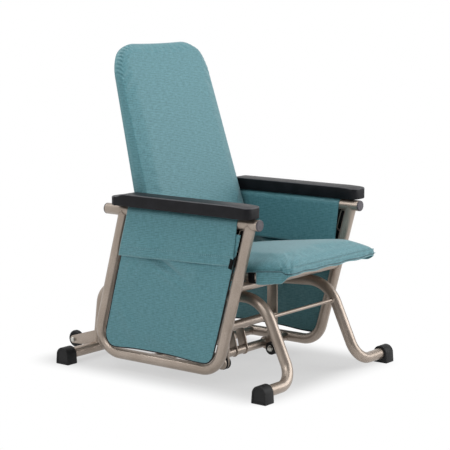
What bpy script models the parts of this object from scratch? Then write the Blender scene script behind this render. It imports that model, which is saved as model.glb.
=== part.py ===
# Pediatric glider chair: a tube base, two pairs of swinging links and a seat frame that hangs on them.
# Metres, +Z up. The chair faces -Y and stands on z = 0, with its middle at x = 0, y = 0.
from math import atan2, ceil, cos, pi, radians, sin, sqrt, tan

import bmesh
import bpy
from mathutils import Matrix, Vector

# Tubes and clearances
TUBE_RADIUS = 0.015875
CROSS_RADIUS = 0.0127
SEAT_TUBE_RADIUS = 0.011
GAP = 0.0003
RUNNING_GAP = 0.0004
BEND_STEP = radians(20)
TUBE_BEVEL_RESOLUTION = 4
ROUND_SIDES = 12
FACET_TWIST = radians(6)

# Base
RAIL_X = 0.161
RAIL_HEIGHT = 0.233
RAIL_PITCH = radians(3.55)
FRONT_FOOT_Y = -0.4065
REAR_FOOT_Y = 0.316
FOOT_TUBE_Z = 0.028
FRONT_LEG_LEAN = radians(25.3)
REAR_LEG_LEAN = radians(7)
STUB_BEND = 0.058
ARCH_BEND = 0.100
REAR_BEND = 0.060
FOOT_OUTER_X = 0.319
FOOT_LENGTH = 0.040
FOOT_RADIUS = 0.0225
FOOT_FLARE = 0.002
FOOT_WALL = 0.006
TIE_RADIUS = 0.005
TIE_HEIGHT = 0.200
COLLAR_RADIUS = 0.009
COLLAR_LENGTH = 0.005

# Transport wheels
WHEEL_RADIUS = 0.026
WHEEL_WIDTH = 0.022
WHEEL_HUB_RADIUS = 0.010
WHEEL_DISH = 0.004
WHEEL_SIDE_GAP = 0.001
WHEEL_REACH = 0.090
WHEEL_CENTRE_Z = 0.038
FORK_THICKNESS = 0.003
FORK_EYE_RADIUS = 0.012
FORK_ROOT_LOW = 0.032
FORK_ROOT_HIGH = 0.080
AXLE_RADIUS = 0.004
AXLE_HEAD_RADIUS = 0.008
AXLE_HEAD_LENGTH = 0.005

# Swinging links
FRONT_PIVOT_Y = -0.132
REAR_PIVOT_Y = 0.072
LINK_LENGTH = 0.200
LINK_X = 0.116
LINK_WIDTH = 0.036
LINK_THICKNESS = 0.006
SWING_TUBE_DROP = 0.096
SWING_TUBE_OFFSET = 0.008
PIN_RADIUS = 0.005
PIN_HEAD_RADIUS = 0.009
PIN_HEAD_LENGTH = 0.006
PIN_DEPTH = 0.016
BOSS_RADIUS = 0.011
CAP_RADIUS = 0.0195
BUSH_RADIUS = 0.0075
CAP_THICKNESS = 0.006
TAB_THICKNESS = 0.006
TAB_RADIUS = 0.018

# Side frames and arms
FRAME_X = 0.244
FRAME_HEIGHT = 0.423
BOTTOM_RISE = 0.010
FRONT_POST_Y = -0.324
POST_SPACING = 0.454
POST_LEAN = radians(15.3)
FRAME_BEND = 0.070
ARM_FRONT_REACH = 0.028
ARM_REAR_REACH = 0.064
PLUG_LENGTH = 0.0055
PLUG_ROUND = 0.0015
LOWER_TUBE_SETBACK = 0.036
BRACKET_HALF_SPACING = 0.022
BRACKET_THICKNESS = 0.004
BRACKET_RADIUS = 0.016
BRACKET_LEAN = 0.012
BRACKET_RISE = 0.047
BRACKET_HOLE_RADIUS = 0.0045
STRAP_LOOP_WIRE = 0.0025
STRAP_LOOP_REACH = 0.030
STRAP_LOOP_DROP = 0.022
STRAP_LOOP_LENGTH = 0.064
STRAP_LOOP_BEND = 0.010

# Armrests
ARMREST_OFFSET_X = 0.013
ARMREST_HALF_WIDTH = 0.033
ARMREST_OVERHANG = 0.004
ARMREST_REAR_SETBACK = 0.043
ARMREST_THICKNESS = 0.035
ARMREST_CORNER = 0.024
ARMREST_EDGE = 0.009
SCREW_RADIUS = 0.003
SCREW_HEAD_RADIUS = 0.006
SCREW_HEAD_LENGTH = 0.004
SCREW_ENGAGEMENT = 0.018
SCREW_INSET = 0.150

# Side panels and the flaps over the arm tubes
SHEET_THICKNESS = 0.0016
FLAP_DROP = 0.123
FLAP_FRONT_SETBACK = 0.034
FLAP_REAR_SETBACK = 0.025
FLAP_FRONT_SLOPE = 0.112
FLAP_REAR_SLOPE = 0.258
FLAP_ARC_CELLS = 8
PANEL_THICKNESS = 0.002
PANEL_TOP_DROP = 0.028
PANEL_FLOOR_GAP = 0.005
PANEL_FRONT_GAP = 0.006
PANEL_REAR_GAP = 0.018
PANEL_CORNER = 0.050

# Seat
SEAT_PITCH = radians(7.1)
SEAT_SIDE_GAP = 0.013
SEAT_LOOP_INSET = 0.020
SEAT_TUBE_CLEARANCE = 0.021
SEAT_LOOP_REACH = 0.045
SEAT_LOOP_FRONT_BEND = 0.025
SEAT_LOOP_BEND = 0.045
PAN_INSET = 0.030
PAN_CORNER = 0.040
STRAP_WIDTH = 0.050
STRAP_THICKNESS = 0.002
STRAP_END_MARGIN = 0.055
STRAP_OVERHANG = 0.006
CUSHION_FRONT_Y = -0.432
CUSHION_THICKNESS = 0.040
CUSHION_CROWN = 0.018
CUSHION_DRAW = 0.012
CUSHION_NOSE_DROP = 0.020
CUSHION_NOSE_LENGTH = 0.090
SKIRT_SIDE_DROP = 0.032
SKIRT_FRONT_DROP = 0.008
SKIRT_TURN = 0.030
SKIRT_INSET = 0.002
SKIRT_BEND = 0.050
SKIRT_THICKNESS = 0.003
SKIRT_REAR_Y = -0.312
TIE_STRAP_WIDTH = 0.020
TIE_STRAP_THICKNESS = 0.0015
TIE_STRAP_TAIL = 0.006

# Back
BACK_BOTTOM_Z = 0.312
BACK_HEIGHT = 0.628
BACK_RECLINE = 0.32
BACK_SETBACK = 0.1277
BACK_BOTTOM_HALF_WIDTH = 0.219
BACK_TOP_HALF_WIDTH = 0.190
BACK_BOTTOM_DEPTH = 0.077
BACK_TOP_DEPTH = 0.026
BACK_CROWN = 0.018
BACK_CORNER_ROUND = 0.42
BACK_FRAME_MARGIN = 0.004
BACK_FRAME_TOP_DROP = 0.062
BACK_FRAME_BEND = 0.060
BACK_STRAPS = 4
CAGE_CUTS = 4

# Colours of the finishes: linear red, green and blue, roughness, metallic
FINISHES = {
    "powder_coat": ((0.30, 0.26, 0.22), 0.38, 0.55),
    "teal_upholstery": ((0.16, 0.33, 0.35), 0.75, 0.0),
    "charcoal_foam": ((0.03, 0.03, 0.032), 0.55, 0.0),
    "black_rubber": ((0.015, 0.015, 0.015), 0.70, 0.0),
    "grey_plastic": ((0.09, 0.085, 0.09), 0.50, 0.0),
    "black_webbing": ((0.02, 0.02, 0.02), 0.85, 0.0),
    "bright_steel": ((0.62, 0.61, 0.59), 0.25, 1.0),
}

# Places that follow from the sizes above
rail_slope = tan(RAIL_PITCH)
seat_slope = tan(SEAT_PITCH)
post_slope = tan(POST_LEAN)
leg_rise = RAIL_HEIGHT - FOOT_TUBE_Z
arch_y = (FRONT_FOOT_Y + tan(FRONT_LEG_LEAN) * leg_rise) / (1 + tan(FRONT_LEG_LEAN) * rail_slope)
rear_corner_y = (REAR_FOOT_Y - tan(REAR_LEG_LEAN) * leg_rise) / (1 - tan(REAR_LEG_LEAN) * rail_slope)
upper_pivot_z = RAIL_HEIGHT - rail_slope * (FRONT_PIVOT_Y + REAR_PIVOT_Y) / 2
lower_pivot_z = upper_pivot_z - LINK_LENGTH
link_inner_x = LINK_X - LINK_THICKNESS / 2
link_outer_x = LINK_X + LINK_THICKNESS / 2
tab_inner_x = link_outer_x + CAP_THICKNESS + 2 * GAP
bottom_z = lower_pivot_z + BOTTOM_RISE
arm_z = bottom_z + FRAME_HEIGHT
rear_post_y = FRONT_POST_Y + POST_SPACING
arm_front_y = FRONT_POST_Y - ARM_FRONT_REACH
arm_rear_y = rear_post_y + ARM_REAR_REACH
armrest_front_y = arm_front_y + ARMREST_OVERHANG
armrest_rear_y = arm_rear_y - ARMREST_REAR_SETBACK
back_base_y = rear_post_y - BACK_SETBACK
front_lower_y = FRONT_PIVOT_Y + LOWER_TUBE_SETBACK
rear_lower_y = REAR_PIVOT_Y - LOWER_TUBE_SETBACK
seat_half_width = FRAME_X - TUBE_RADIUS - SEAT_SIDE_GAP
seat_loop_x = seat_half_width - SEAT_LOOP_INSET
seat_tube_z = RAIL_HEIGHT - rail_slope * arch_y + TUBE_RADIUS + SEAT_TUBE_CLEARANCE
armrest_bottom_z = arm_z + TUBE_RADIUS + SHEET_THICKNESS + 2 * GAP
flap_x = FRAME_X + TUBE_RADIUS + GAP + SHEET_THICKNESS / 2
back_frame_x = seat_loop_x - SEAT_LOOP_BEND - SEAT_TUBE_RADIUS - BACK_FRAME_MARGIN
fork_half_gap = WHEEL_WIDTH / 2 + WHEEL_SIDE_GAP
pin_hole = PIN_RADIUS + RUNNING_GAP
sides = (("left", 1), ("right", -1))


def post_y(top_y, z):
    return top_y + post_slope * (arm_z - z)


seat_tube_y = post_y(FRONT_POST_Y, seat_tube_z)
seat_loop_front_y = seat_tube_y - SEAT_LOOP_REACH
tie_strap_y = seat_tube_y - CROSS_RADIUS - TIE_STRAP_WIDTH / 2 - GAP
seat_loop_rise = (CROSS_RADIUS + SEAT_TUBE_RADIUS + GAP) / cos(SEAT_PITCH)


def seat_loop_z(y):
    return seat_tube_z + seat_loop_rise - seat_slope * (y - seat_tube_y)


def cushion_bottom_z(y):
    return seat_loop_z(y) + (SEAT_TUBE_RADIUS + STRAP_THICKNESS + 2 * GAP) / cos(SEAT_PITCH)


def back_front_y(z):
    return back_base_y + BACK_RECLINE * (z - BACK_BOTTOM_Z)


def back_depth(z):
    return BACK_BOTTOM_DEPTH + (BACK_TOP_DEPTH - BACK_BOTTOM_DEPTH) * (z - BACK_BOTTOM_Z) / BACK_HEIGHT


def back_rear_y(z):
    return back_front_y(z) + back_depth(z)


back_rear_slope = (back_rear_y(BACK_BOTTOM_Z + BACK_HEIGHT) - back_rear_y(BACK_BOTTOM_Z)) / BACK_HEIGHT
back_lean = sqrt(1 + back_rear_slope ** 2)
back_strap_offset = (STRAP_THICKNESS / 2 + GAP) * back_lean
back_tube_offset = (SEAT_TUBE_RADIUS + STRAP_THICKNESS + 2 * GAP) * back_lean


def back_tube_y(z):
    return back_rear_y(z) + back_tube_offset


# Where the back frame's legs come down on the rear of the seat loop
seat_loop_rear_y = (back_tube_y(0) + back_rear_slope * seat_loop_z(0)) / (1 + back_rear_slope * seat_slope)
cushion_rear_y = back_base_y - 2 * GAP
cushion_middle_y = (CUSHION_FRONT_Y + cushion_rear_y) / 2
cushion_half_length = (cushion_rear_y - CUSHION_FRONT_Y) / 2


for leftover in list(bpy.data.objects):
    bpy.data.objects.remove(leftover, do_unlink=True)

chair = bpy.data.collections.new("pediatric_glider_chair")
helpers = bpy.data.collections.new("cutters_and_welded_shapes")
bpy.context.scene.collection.children.link(chair)
bpy.context.scene.collection.children.link(helpers)


def make_finish(name):
    colour, roughness, metallic = FINISHES[name]
    material = bpy.data.materials.new(name)
    material.use_nodes = True
    shader = material.node_tree.nodes["Principled BSDF"]
    shader.inputs["Base Color"].default_value = (*colour, 1)
    shader.inputs["Roughness"].default_value = roughness
    shader.inputs["Metallic"].default_value = metallic
    return material


finishes = {name: make_finish(name) for name in FINISHES}


def make_pivot(name, location, parent=None):
    pivot = bpy.data.objects.new(name, None)
    chair.objects.link(pivot)
    pivot.location = location
    if parent:
        pivot.parent = parent
        pivot.location = Vector(location) - parent.location
    return pivot


front_swing = make_pivot("front_swing_pivot", (0, FRONT_PIVOT_Y, upper_pivot_z))
rear_swing = make_pivot("rear_swing_pivot", (0, REAR_PIVOT_Y, upper_pivot_z))
glide_frame = make_pivot("glide_frame_pivot", (0, FRONT_PIVOT_Y, lower_pivot_z), front_swing)
wheel_y = REAR_FOOT_Y + WHEEL_REACH
wheel_pivots = {
    side: make_pivot(f"transport_wheel_{side}_pivot", (sign * RAIL_X, wheel_y, WHEEL_CENTRE_Z))
    for side, sign in sides
}


# A named piece made from a mesh that is already in place
def piece(name, data, finish, pivot=None, bevel=None):
    data.name = name
    data.materials.append(finishes[finish])
    data.shade_smooth()
    data.set_sharp_from_angle(angle=radians(35))
    result = bpy.data.objects.new(name, data)
    chair.objects.link(result)
    if pivot:
        bpy.context.view_layer.update()
        result.parent = pivot
        result.matrix_parent_inverse = pivot.matrix_world.inverted()
    if bevel:
        rounding = result.modifiers.new("rounded_edges", "BEVEL")
        rounding.width = bevel
        rounding.segments = 2
        rounding.limit_method = "ANGLE"
        rounding.angle_limit = radians(60)
    return result


def combine(target, mesh, operation):
    helper = bpy.data.objects.new(f"{target.name}_helper", mesh)
    helpers.objects.link(helper)
    helper.hide_render = True
    helper.display_type = "WIRE"
    step = target.modifiers.new(operation.lower(), "BOOLEAN")
    step.operation = operation
    step.object = helper


def cut(target, mesh):
    combine(target, mesh, "DIFFERENCE")


def weld(target, mesh):
    combine(target, mesh, "UNION")


# Turns a curve or a modified object into a plain closed mesh in world space
def evaluated_mesh(source):
    bpy.context.view_layer.update()
    graph = bpy.context.evaluated_depsgraph_get()
    mesh = bpy.data.meshes.new_from_object(source.evaluated_get(graph))
    mesh.transform(source.matrix_world)
    data = source.data
    bpy.data.objects.remove(source)
    if isinstance(data, bpy.types.Curve):
        bpy.data.curves.remove(data)
    else:
        bpy.data.meshes.remove(data)
    shape = bmesh.new()
    shape.from_mesh(mesh)
    bmesh.ops.remove_doubles(shape, verts=shape.verts, dist=0.00001)
    shape.to_mesh(mesh)
    shape.free()
    return mesh


# Rounds the inner corners of a path of straight runs, one radius for each corner
def bend_path(corners, radii, closed=False):
    corners = [Vector(corner) for corner in corners]
    count = len(corners)
    path = []
    for index, corner in enumerate(corners):
        if not closed and index in (0, count - 1):
            path.append(corner)
            continue
        radius = radii[index if closed else index - 1]
        before = (corners[index - 1] - corner).normalized()
        after = (corners[(index + 1) % count] - corner).normalized()
        half = before.angle(after) / 2
        centre = corner + (before + after).normalized() * radius / sin(half)
        start = corner + before * radius / tan(half) - centre
        turn = pi - 2 * half
        axis = before.cross(after).normalized()
        steps = max(2, ceil(turn / BEND_STEP))
        for step in range(steps + 1):
            path.append(centre + Matrix.Rotation(-turn * step / steps, 3, axis) @ start)
    return path


def tube_mesh(path, radius, closed=False, resolution=TUBE_BEVEL_RESOLUTION):
    curve = bpy.data.curves.new("tube", "CURVE")
    curve.dimensions = "3D"
    curve.bevel_depth = radius
    curve.bevel_resolution = resolution
    curve.use_fill_caps = not closed
    spline = curve.splines.new("POLY")
    spline.points.add(len(path) - 1)
    spline.use_cyclic_u = closed
    for point, place in zip(spline.points, path):
        point.co = (*place, 1)
    source = bpy.data.objects.new("tube", curve)
    chair.objects.link(source)
    return evaluated_mesh(source)


# A flat shape: outlines in a plane, the inner ones as holes, thickened and placed by a matrix
def flat_mesh(loops, thickness, place):
    curve = bpy.data.curves.new("flat", "CURVE")
    curve.dimensions = "2D"
    curve.fill_mode = "BOTH"
    curve.extrude = thickness / 2
    for loop in loops:
        spline = curve.splines.new("POLY")
        spline.points.add(len(loop) - 1)
        spline.use_cyclic_u = True
        for point, (first, second) in zip(spline.points, loop):
            point.co = (first, second, 0, 1)
    source = bpy.data.objects.new("flat", curve)
    chair.objects.link(source)
    source.matrix_world = place
    return evaluated_mesh(source)


# A flat plate in the YZ plane, from x_start to x_end, with round holes ((y, z), radius)
def plate_mesh(outline, x_start, x_end, holes=()):
    loops = [outline] + [circle(centre, radius) for centre, radius in holes]
    place = Matrix(((0, 0, 1, (x_start + x_end) / 2), (1, 0, 0, 0), (0, 1, 0, 0), (0, 0, 0, 1)))
    return flat_mesh(loops, abs(x_end - x_start), place)


# Crossed straps in one sheet, with windows between them
def webbing_mesh(width, length, strap_width, rows, place):
    def rectangle(x_low, x_high, y_low, y_high):
        return [(x_low, y_low), (x_high, y_low), (x_high, y_high), (x_low, y_high)]

    window_width = (width - 2 * strap_width) / 3 - 2 * STRAP_OVERHANG
    window_length = (length - rows * strap_width) / (rows - 1)
    loops = [rectangle(-width / 2, width / 2, -length / 2, length / 2)]
    for row in range(rows - 1):
        y_low = -length / 2 + strap_width + row * (strap_width + window_length)
        for column in (-1, 0, 1):
            x_low = column * (window_width + strap_width) - window_width / 2
            loops.append(rectangle(x_low, x_low + window_width, y_low, y_low + window_length))
    return flat_mesh(loops, STRAP_THICKNESS, place)


def circle(centre, radius):
    turns = [2 * pi * step / ROUND_SIDES for step in range(ROUND_SIDES)]
    return [(centre[0] + radius * cos(turn), centre[1] + radius * sin(turn)) for turn in turns]


# The outline of a flat bar with round ends about two points
def bar_outline(first, second, radius):
    heading = atan2(second[1] - first[1], second[0] - first[0])
    half_steps = ROUND_SIDES // 2
    outline = []
    for centre, start in ((second, heading - pi / 2), (first, heading + pi / 2)):
        for step in range(half_steps + 1):
            turn = start + pi * step / half_steps
            outline.append((centre[0] + radius * cos(turn), centre[1] + radius * sin(turn)))
    return outline


def rounded_outline(corners, radii):
    flat = bend_path([(0, *corner) for corner in corners], radii, closed=True)
    return [(point.y, point.z) for point in flat]


# A straight round bar between two points, with its facets turned off those of the tubes it cuts
def bar_mesh(start, end, radius):
    start, end = Vector(start), Vector(end)
    shape = bmesh.new()
    heading = (end - start).to_track_quat("Z", "Y").to_matrix().to_4x4()
    place = Matrix.Translation((start + end) / 2) @ heading @ Matrix.Rotation(FACET_TWIST, 4, "Z")
    bmesh.ops.create_cone(shape, cap_ends=True, segments=ROUND_SIDES, radius1=radius, radius2=radius,
                          depth=(end - start).length, matrix=place)
    mesh = bpy.data.meshes.new("bar")
    shape.to_mesh(mesh)
    shape.free()
    return mesh


# The radius of a round cutter whose flats clear a tube of the given radius
def bore(radius, clearance=GAP):
    return (radius + clearance) / cos(pi / ROUND_SIDES)


# A turned piece: (radius, distance) points from its far end back to its start, along an axis
def turned_mesh(profile, start, direction):
    data = bpy.data.meshes.new("profile")
    points = [(radius, 0, distance) for radius, distance in profile]
    data.from_pydata(points, [(index, index + 1) for index in range(len(points) - 1)], [])
    source = bpy.data.objects.new("profile", data)
    chair.objects.link(source)
    turn = source.modifiers.new("turn", "SCREW")
    turn.steps = ROUND_SIDES
    turn.render_steps = ROUND_SIDES
    turn.use_merge_vertices = True
    turn.merge_threshold = 0.00001
    heading = Vector(direction).to_track_quat("Z", "Y").to_matrix().to_4x4()
    source.matrix_world = Matrix.Translation(start) @ heading
    return evaluated_mesh(source)


# A bolt with a head at each end of its shank, such as a head and a nut
def bolt_profile(shank, head, head_length, length, nut_length=0):
    tail = [(0, length), (shank, length)]
    if nut_length:
        tail = [(0, length), (head, length), (head, length - nut_length), (shank, length - nut_length)]
    return tail + [(shank, head_length), (head, head_length), (head, 0), (0, 0)]


# A soft block: a cage whose points run from -1 to 1 is shaped by a formula, then smoothed
def soft_piece(name, form, finish, pivot):
    shape = bmesh.new()
    bmesh.ops.create_cube(shape, size=2)
    bmesh.ops.subdivide_edges(shape, edges=shape.edges, cuts=CAGE_CUTS, use_grid_fill=True)
    for vert in shape.verts:
        vert.co = form(*[abs(share) ** 0.5 * (1 if share > 0 else -1) for share in vert.co])
    mesh = bpy.data.meshes.new(name)
    shape.to_mesh(mesh)
    shape.free()
    result = piece(name, mesh, finish, pivot)
    smooth = result.modifiers.new("soft", "SUBSURF")
    smooth.levels = 1
    smooth.render_levels = 1
    return result


# A thin sheet: a grid whose two shares run from 0 to 1 is placed by a formula and thickened
def sheet_piece(name, place, across, along, thickness, finish, pivot):
    shape = bmesh.new()
    bmesh.ops.create_grid(shape, x_segments=across, y_segments=along, size=0.5)
    for vert in shape.verts:
        vert.co = place(vert.co.x + 0.5, vert.co.y + 0.5)
    mesh = bpy.data.meshes.new(name)
    shape.to_mesh(mesh)
    shape.free()
    result = piece(name, mesh, finish, pivot)
    wall = result.modifiers.new("wall", "SOLIDIFY")
    wall.thickness = thickness
    wall.offset = 0
    wall.use_even_offset = True
    return result


def rail_point(sign, y):
    return Vector((sign * RAIL_X, y, RAIL_HEIGHT - rail_slope * y))


def build_base():
    stub_x = FOOT_OUTER_X - FOOT_WALL - GAP
    leg_y = FRONT_FOOT_Y + tan(FRONT_LEG_LEAN) * (TIE_HEIGHT - FOOT_TUBE_Z)
    cross = [Vector((x, REAR_FOOT_Y, FOOT_TUBE_Z)) for x in (-stub_x, stub_x)]
    piece("rear_cross_tube", tube_mesh(cross, TUBE_RADIUS), "powder_coat")
    for side, sign in sides:
        corners = [
            (sign * stub_x, FRONT_FOOT_Y, FOOT_TUBE_Z),
            (sign * RAIL_X, FRONT_FOOT_Y, FOOT_TUBE_Z),
            rail_point(sign, arch_y),
            rail_point(sign, rear_corner_y),
            (sign * RAIL_X, REAR_FOOT_Y, FOOT_TUBE_Z),
        ]
        path = bend_path(corners, [STUB_BEND, ARCH_BEND, REAR_BEND])
        rail = piece(f"base_rail_{side}", tube_mesh(path, TUBE_RADIUS), "powder_coat")
        for pivot_y in (FRONT_PIVOT_Y, REAR_PIVOT_Y):
            weld(rail, boss_mesh(sign, pivot_y))
        for face in (-1, 1):
            weld(rail, fork_plate_mesh(sign, face))
        cut(rail, bar_mesh(*cross, bore(TUBE_RADIUS)))
        build_foot(f"front_foot_{side}", sign, FRONT_FOOT_Y)
        build_foot(f"rear_foot_{side}", sign, REAR_FOOT_Y)
    tie_x = RAIL_X - TUBE_RADIUS - GAP
    rod = bolt_profile(TIE_RADIUS, COLLAR_RADIUS, COLLAR_LENGTH, 2 * tie_x, COLLAR_LENGTH)
    piece("front_tie_rod", turned_mesh(rod, (-tie_x, leg_y, TIE_HEIGHT), (1, 0, 0)), "powder_coat")


# The boss on the inner side of a rail that takes an upper pivot bolt
def boss_mesh(sign, pivot_y):
    start = link_outer_x + GAP
    length = RAIL_X - TUBE_RADIUS / 2 - start
    profile = [(0, length), (BOSS_RADIUS, length), (BOSS_RADIUS, 0), (pin_hole, 0),
               (pin_hole, PIN_DEPTH + GAP), (0, PIN_DEPTH + GAP)]
    return turned_mesh(profile, (sign * start, pivot_y, upper_pivot_z), (sign, 0, 0))


# One side plate of a wheel fork, from the rear leg to the wheel's axle
def fork_plate_mesh(sign, face):
    root_y = REAR_FOOT_Y - TUBE_RADIUS / 2
    turns = [pi * step / 8 - pi / 2 for step in range(9)]
    outline = [(root_y, FORK_ROOT_LOW)]
    for turn in turns:
        outline.append((wheel_y + FORK_EYE_RADIUS * cos(turn), WHEEL_CENTRE_Z + FORK_EYE_RADIUS * sin(turn)))
    outline.append((root_y, FORK_ROOT_HIGH))
    start = sign * RAIL_X + face * fork_half_gap
    return plate_mesh(outline, start, start + face * FORK_THICKNESS,
                      [((wheel_y, WHEEL_CENTRE_Z), bore(AXLE_RADIUS))])


def build_foot(name, sign, y):
    turns = [pi * step / 8 for step in range(9)]
    arch = [(y + FOOT_RADIUS * cos(turn), FOOT_TUBE_Z + FOOT_RADIUS * sin(turn)) for turn in turns]
    base = [(y - FOOT_RADIUS - FOOT_FLARE, 0), (y + FOOT_RADIUS + FOOT_FLARE, 0)]
    inner_x = FOOT_OUTER_X - FOOT_LENGTH
    foot = piece(name, plate_mesh(arch + base, sign * inner_x, sign * FOOT_OUTER_X), "black_rubber")
    socket_end = (sign * (FOOT_OUTER_X - FOOT_WALL), y, FOOT_TUBE_Z)
    cut(foot, bar_mesh((sign * (inner_x - FOOT_WALL), y, FOOT_TUBE_Z), socket_end, bore(TUBE_RADIUS)))


def build_wheels():
    axle_length = 2 * (fork_half_gap + FORK_THICKNESS + GAP + AXLE_HEAD_LENGTH)
    axle = bolt_profile(AXLE_RADIUS, AXLE_HEAD_RADIUS, AXLE_HEAD_LENGTH, axle_length, AXLE_HEAD_LENGTH)
    half = WHEEL_WIDTH / 2
    hub_bore = AXLE_RADIUS + RUNNING_GAP
    shoulder = WHEEL_RADIUS - WHEEL_DISH
    face = WHEEL_WIDTH - WHEEL_DISH
    near_face = [(WHEEL_RADIUS, half - WHEEL_DISH), (shoulder, WHEEL_DISH), (WHEEL_HUB_RADIUS, WHEEL_DISH),
                 (WHEEL_HUB_RADIUS, 0), (hub_bore, 0)]
    far_face = [(hub_bore, WHEEL_WIDTH), (WHEEL_HUB_RADIUS, WHEEL_WIDTH), (WHEEL_HUB_RADIUS, face),
                (shoulder, face), (WHEEL_RADIUS, half + WHEEL_DISH)]
    profile = far_face + near_face + far_face[:1]
    for side, sign in sides:
        start = Vector((sign * RAIL_X, wheel_y, WHEEL_CENTRE_Z))
        wheel = turned_mesh(profile, start - Vector((half, 0, 0)), (1, 0, 0))
        piece(f"transport_wheel_{side}", wheel, "black_rubber", wheel_pivots[side])
        bolt = turned_mesh(axle, start - Vector((axle_length / 2, 0, 0)), (1, 0, 0))
        piece(f"wheel_axle_bolt_{side}", bolt, "bright_steel")


def build_links():
    pin_start = link_inner_x - GAP - PIN_HEAD_LENGTH
    pin_length = link_outer_x + GAP + PIN_DEPTH - pin_start
    pin = bolt_profile(PIN_RADIUS, PIN_HEAD_RADIUS, PIN_HEAD_LENGTH, pin_length)
    bush_start = link_inner_x - GAP - CAP_THICKNESS
    bush_length = LINK_THICKNESS + 2 * (GAP + CAP_THICKNESS)
    flange = bush_length - CAP_THICKNESS
    bush = [(pin_hole, bush_length), (CAP_RADIUS, bush_length), (CAP_RADIUS, flange), (BUSH_RADIUS, flange),
            (BUSH_RADIUS, CAP_THICKNESS), (CAP_RADIUS, CAP_THICKNESS), (CAP_RADIUS, 0), (pin_hole, 0),
            (pin_hole, bush_length)]
    for name, pivot_y, pivot, offset in (("front", FRONT_PIVOT_Y, front_swing, -SWING_TUBE_OFFSET),
                                         ("rear", REAR_PIVOT_Y, rear_swing, SWING_TUBE_OFFSET)):
        upper, lower = (pivot_y, upper_pivot_z), (pivot_y, lower_pivot_z)
        holes = [(upper, bore(PIN_RADIUS, RUNNING_GAP)), (lower, bore(BUSH_RADIUS))]
        for side, sign in sides:
            outline = bar_outline(lower, upper, LINK_WIDTH / 2)
            bar = plate_mesh(outline, sign * link_inner_x, sign * link_outer_x, holes)
            piece(f"{name}_link_{side}", bar, "powder_coat", pivot)
            bush_mesh = turned_mesh(bush, (sign * bush_start, *lower), (sign, 0, 0))
            piece(f"{name}_link_bush_{side}", bush_mesh, "black_rubber", pivot)
            bolt = turned_mesh(pin, (sign * pin_start, *upper), (sign, 0, 0))
            piece(f"upper_pivot_bolt_{name}_{side}", bolt, "bright_steel")
        reach = link_inner_x - GAP
        ends = [Vector((x, pivot_y + offset, upper_pivot_z - SWING_TUBE_DROP)) for x in (-reach, reach)]
        piece(f"{name}_swing_tube", tube_mesh(ends, CROSS_RADIUS), "powder_coat", pivot)


def build_side_frames():
    plug = [(0, PLUG_LENGTH), (TUBE_RADIUS - PLUG_ROUND, PLUG_LENGTH),
            (TUBE_RADIUS, PLUG_LENGTH - PLUG_ROUND), (TUBE_RADIUS, 0), (0, 0)]
    for side, sign in sides:
        x = sign * FRAME_X
        corners = [(x, FRONT_POST_Y, arm_z), (x, post_y(FRONT_POST_Y, bottom_z), bottom_z),
                   (x, post_y(rear_post_y, bottom_z), bottom_z), (x, rear_post_y, arm_z)]
        frame = piece(f"side_frame_{side}", tube_mesh(bend_path(corners, [FRAME_BEND] * 2), TUBE_RADIUS),
                      "powder_coat", glide_frame)
        weld(frame, strap_loop_mesh(sign))
        arm_ends = [Vector((x, y, arm_z)) for y in (arm_front_y, arm_rear_y)]
        cut(frame, bar_mesh(*arm_ends, bore(TUBE_RADIUS)))
        arm = piece(f"arm_tube_{side}", tube_mesh(arm_ends, TUBE_RADIUS), "powder_coat", glide_frame)
        drill_screw_holes(arm, sign)
        for end, place, heading in (("front", arm_ends[0], -1), ("rear", arm_ends[1], 1)):
            cap = turned_mesh(plug, place + Vector((0, heading * GAP, 0)), (0, heading, 0))
            piece(f"arm_end_plug_{end}_{side}", cap, "grey_plastic", glide_frame)


# A wire loop behind the front post, for tying a strap
def strap_loop_mesh(sign):
    along = Vector((0, post_slope, -1)).normalized()
    reach = Vector((0, cos(POST_LEAN), sin(POST_LEAN))) * STRAP_LOOP_REACH
    top_z = arm_z - STRAP_LOOP_DROP
    top = Vector((sign * FRAME_X, post_y(FRONT_POST_Y, top_z), top_z))
    low = top + along * STRAP_LOOP_LENGTH
    path = bend_path([top, top + reach, low + reach, low], [STRAP_LOOP_BEND] * 2)
    return tube_mesh(path, STRAP_LOOP_WIRE, resolution=2)


def screw_places():
    return armrest_front_y + SCREW_INSET, armrest_rear_y - SCREW_INSET


def drill_screw_holes(target, sign):
    top_z = armrest_bottom_z + SCREW_ENGAGEMENT + GAP
    for y in screw_places():
        low = (sign * FRAME_X, y, arm_z - 2 * TUBE_RADIUS)
        cut(target, bar_mesh(low, (sign * FRAME_X, y, top_z), bore(SCREW_RADIUS)))


def build_armrests():
    head_z = arm_z - TUBE_RADIUS - GAP - SCREW_HEAD_LENGTH
    length = armrest_bottom_z + SCREW_ENGAGEMENT - head_z
    screw = bolt_profile(SCREW_RADIUS, SCREW_HEAD_RADIUS, SCREW_HEAD_LENGTH, length)
    for side, sign in sides:
        x = sign * (FRAME_X + ARMREST_OFFSET_X)
        corners = [(x + across * ARMREST_HALF_WIDTH, y, 0) for across, y in (
            (-1, armrest_front_y), (1, armrest_front_y), (1, armrest_rear_y), (-1, armrest_rear_y))]
        plan = [(point.x, point.y) for point in bend_path(corners, [ARMREST_CORNER] * 4, closed=True)]
        pad = piece(f"armrest_{side}", slab_mesh(plan, armrest_bottom_z, ARMREST_THICKNESS), "charcoal_foam",
                    glide_frame, bevel=ARMREST_EDGE)
        drill_screw_holes(pad, sign)
        for end, y in zip(("front", "rear"), screw_places()):
            bolt = turned_mesh(screw, (sign * FRAME_X, y, head_z), (0, 0, 1))
            piece(f"armrest_screw_{end}_{side}", bolt, "bright_steel", glide_frame)


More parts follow.
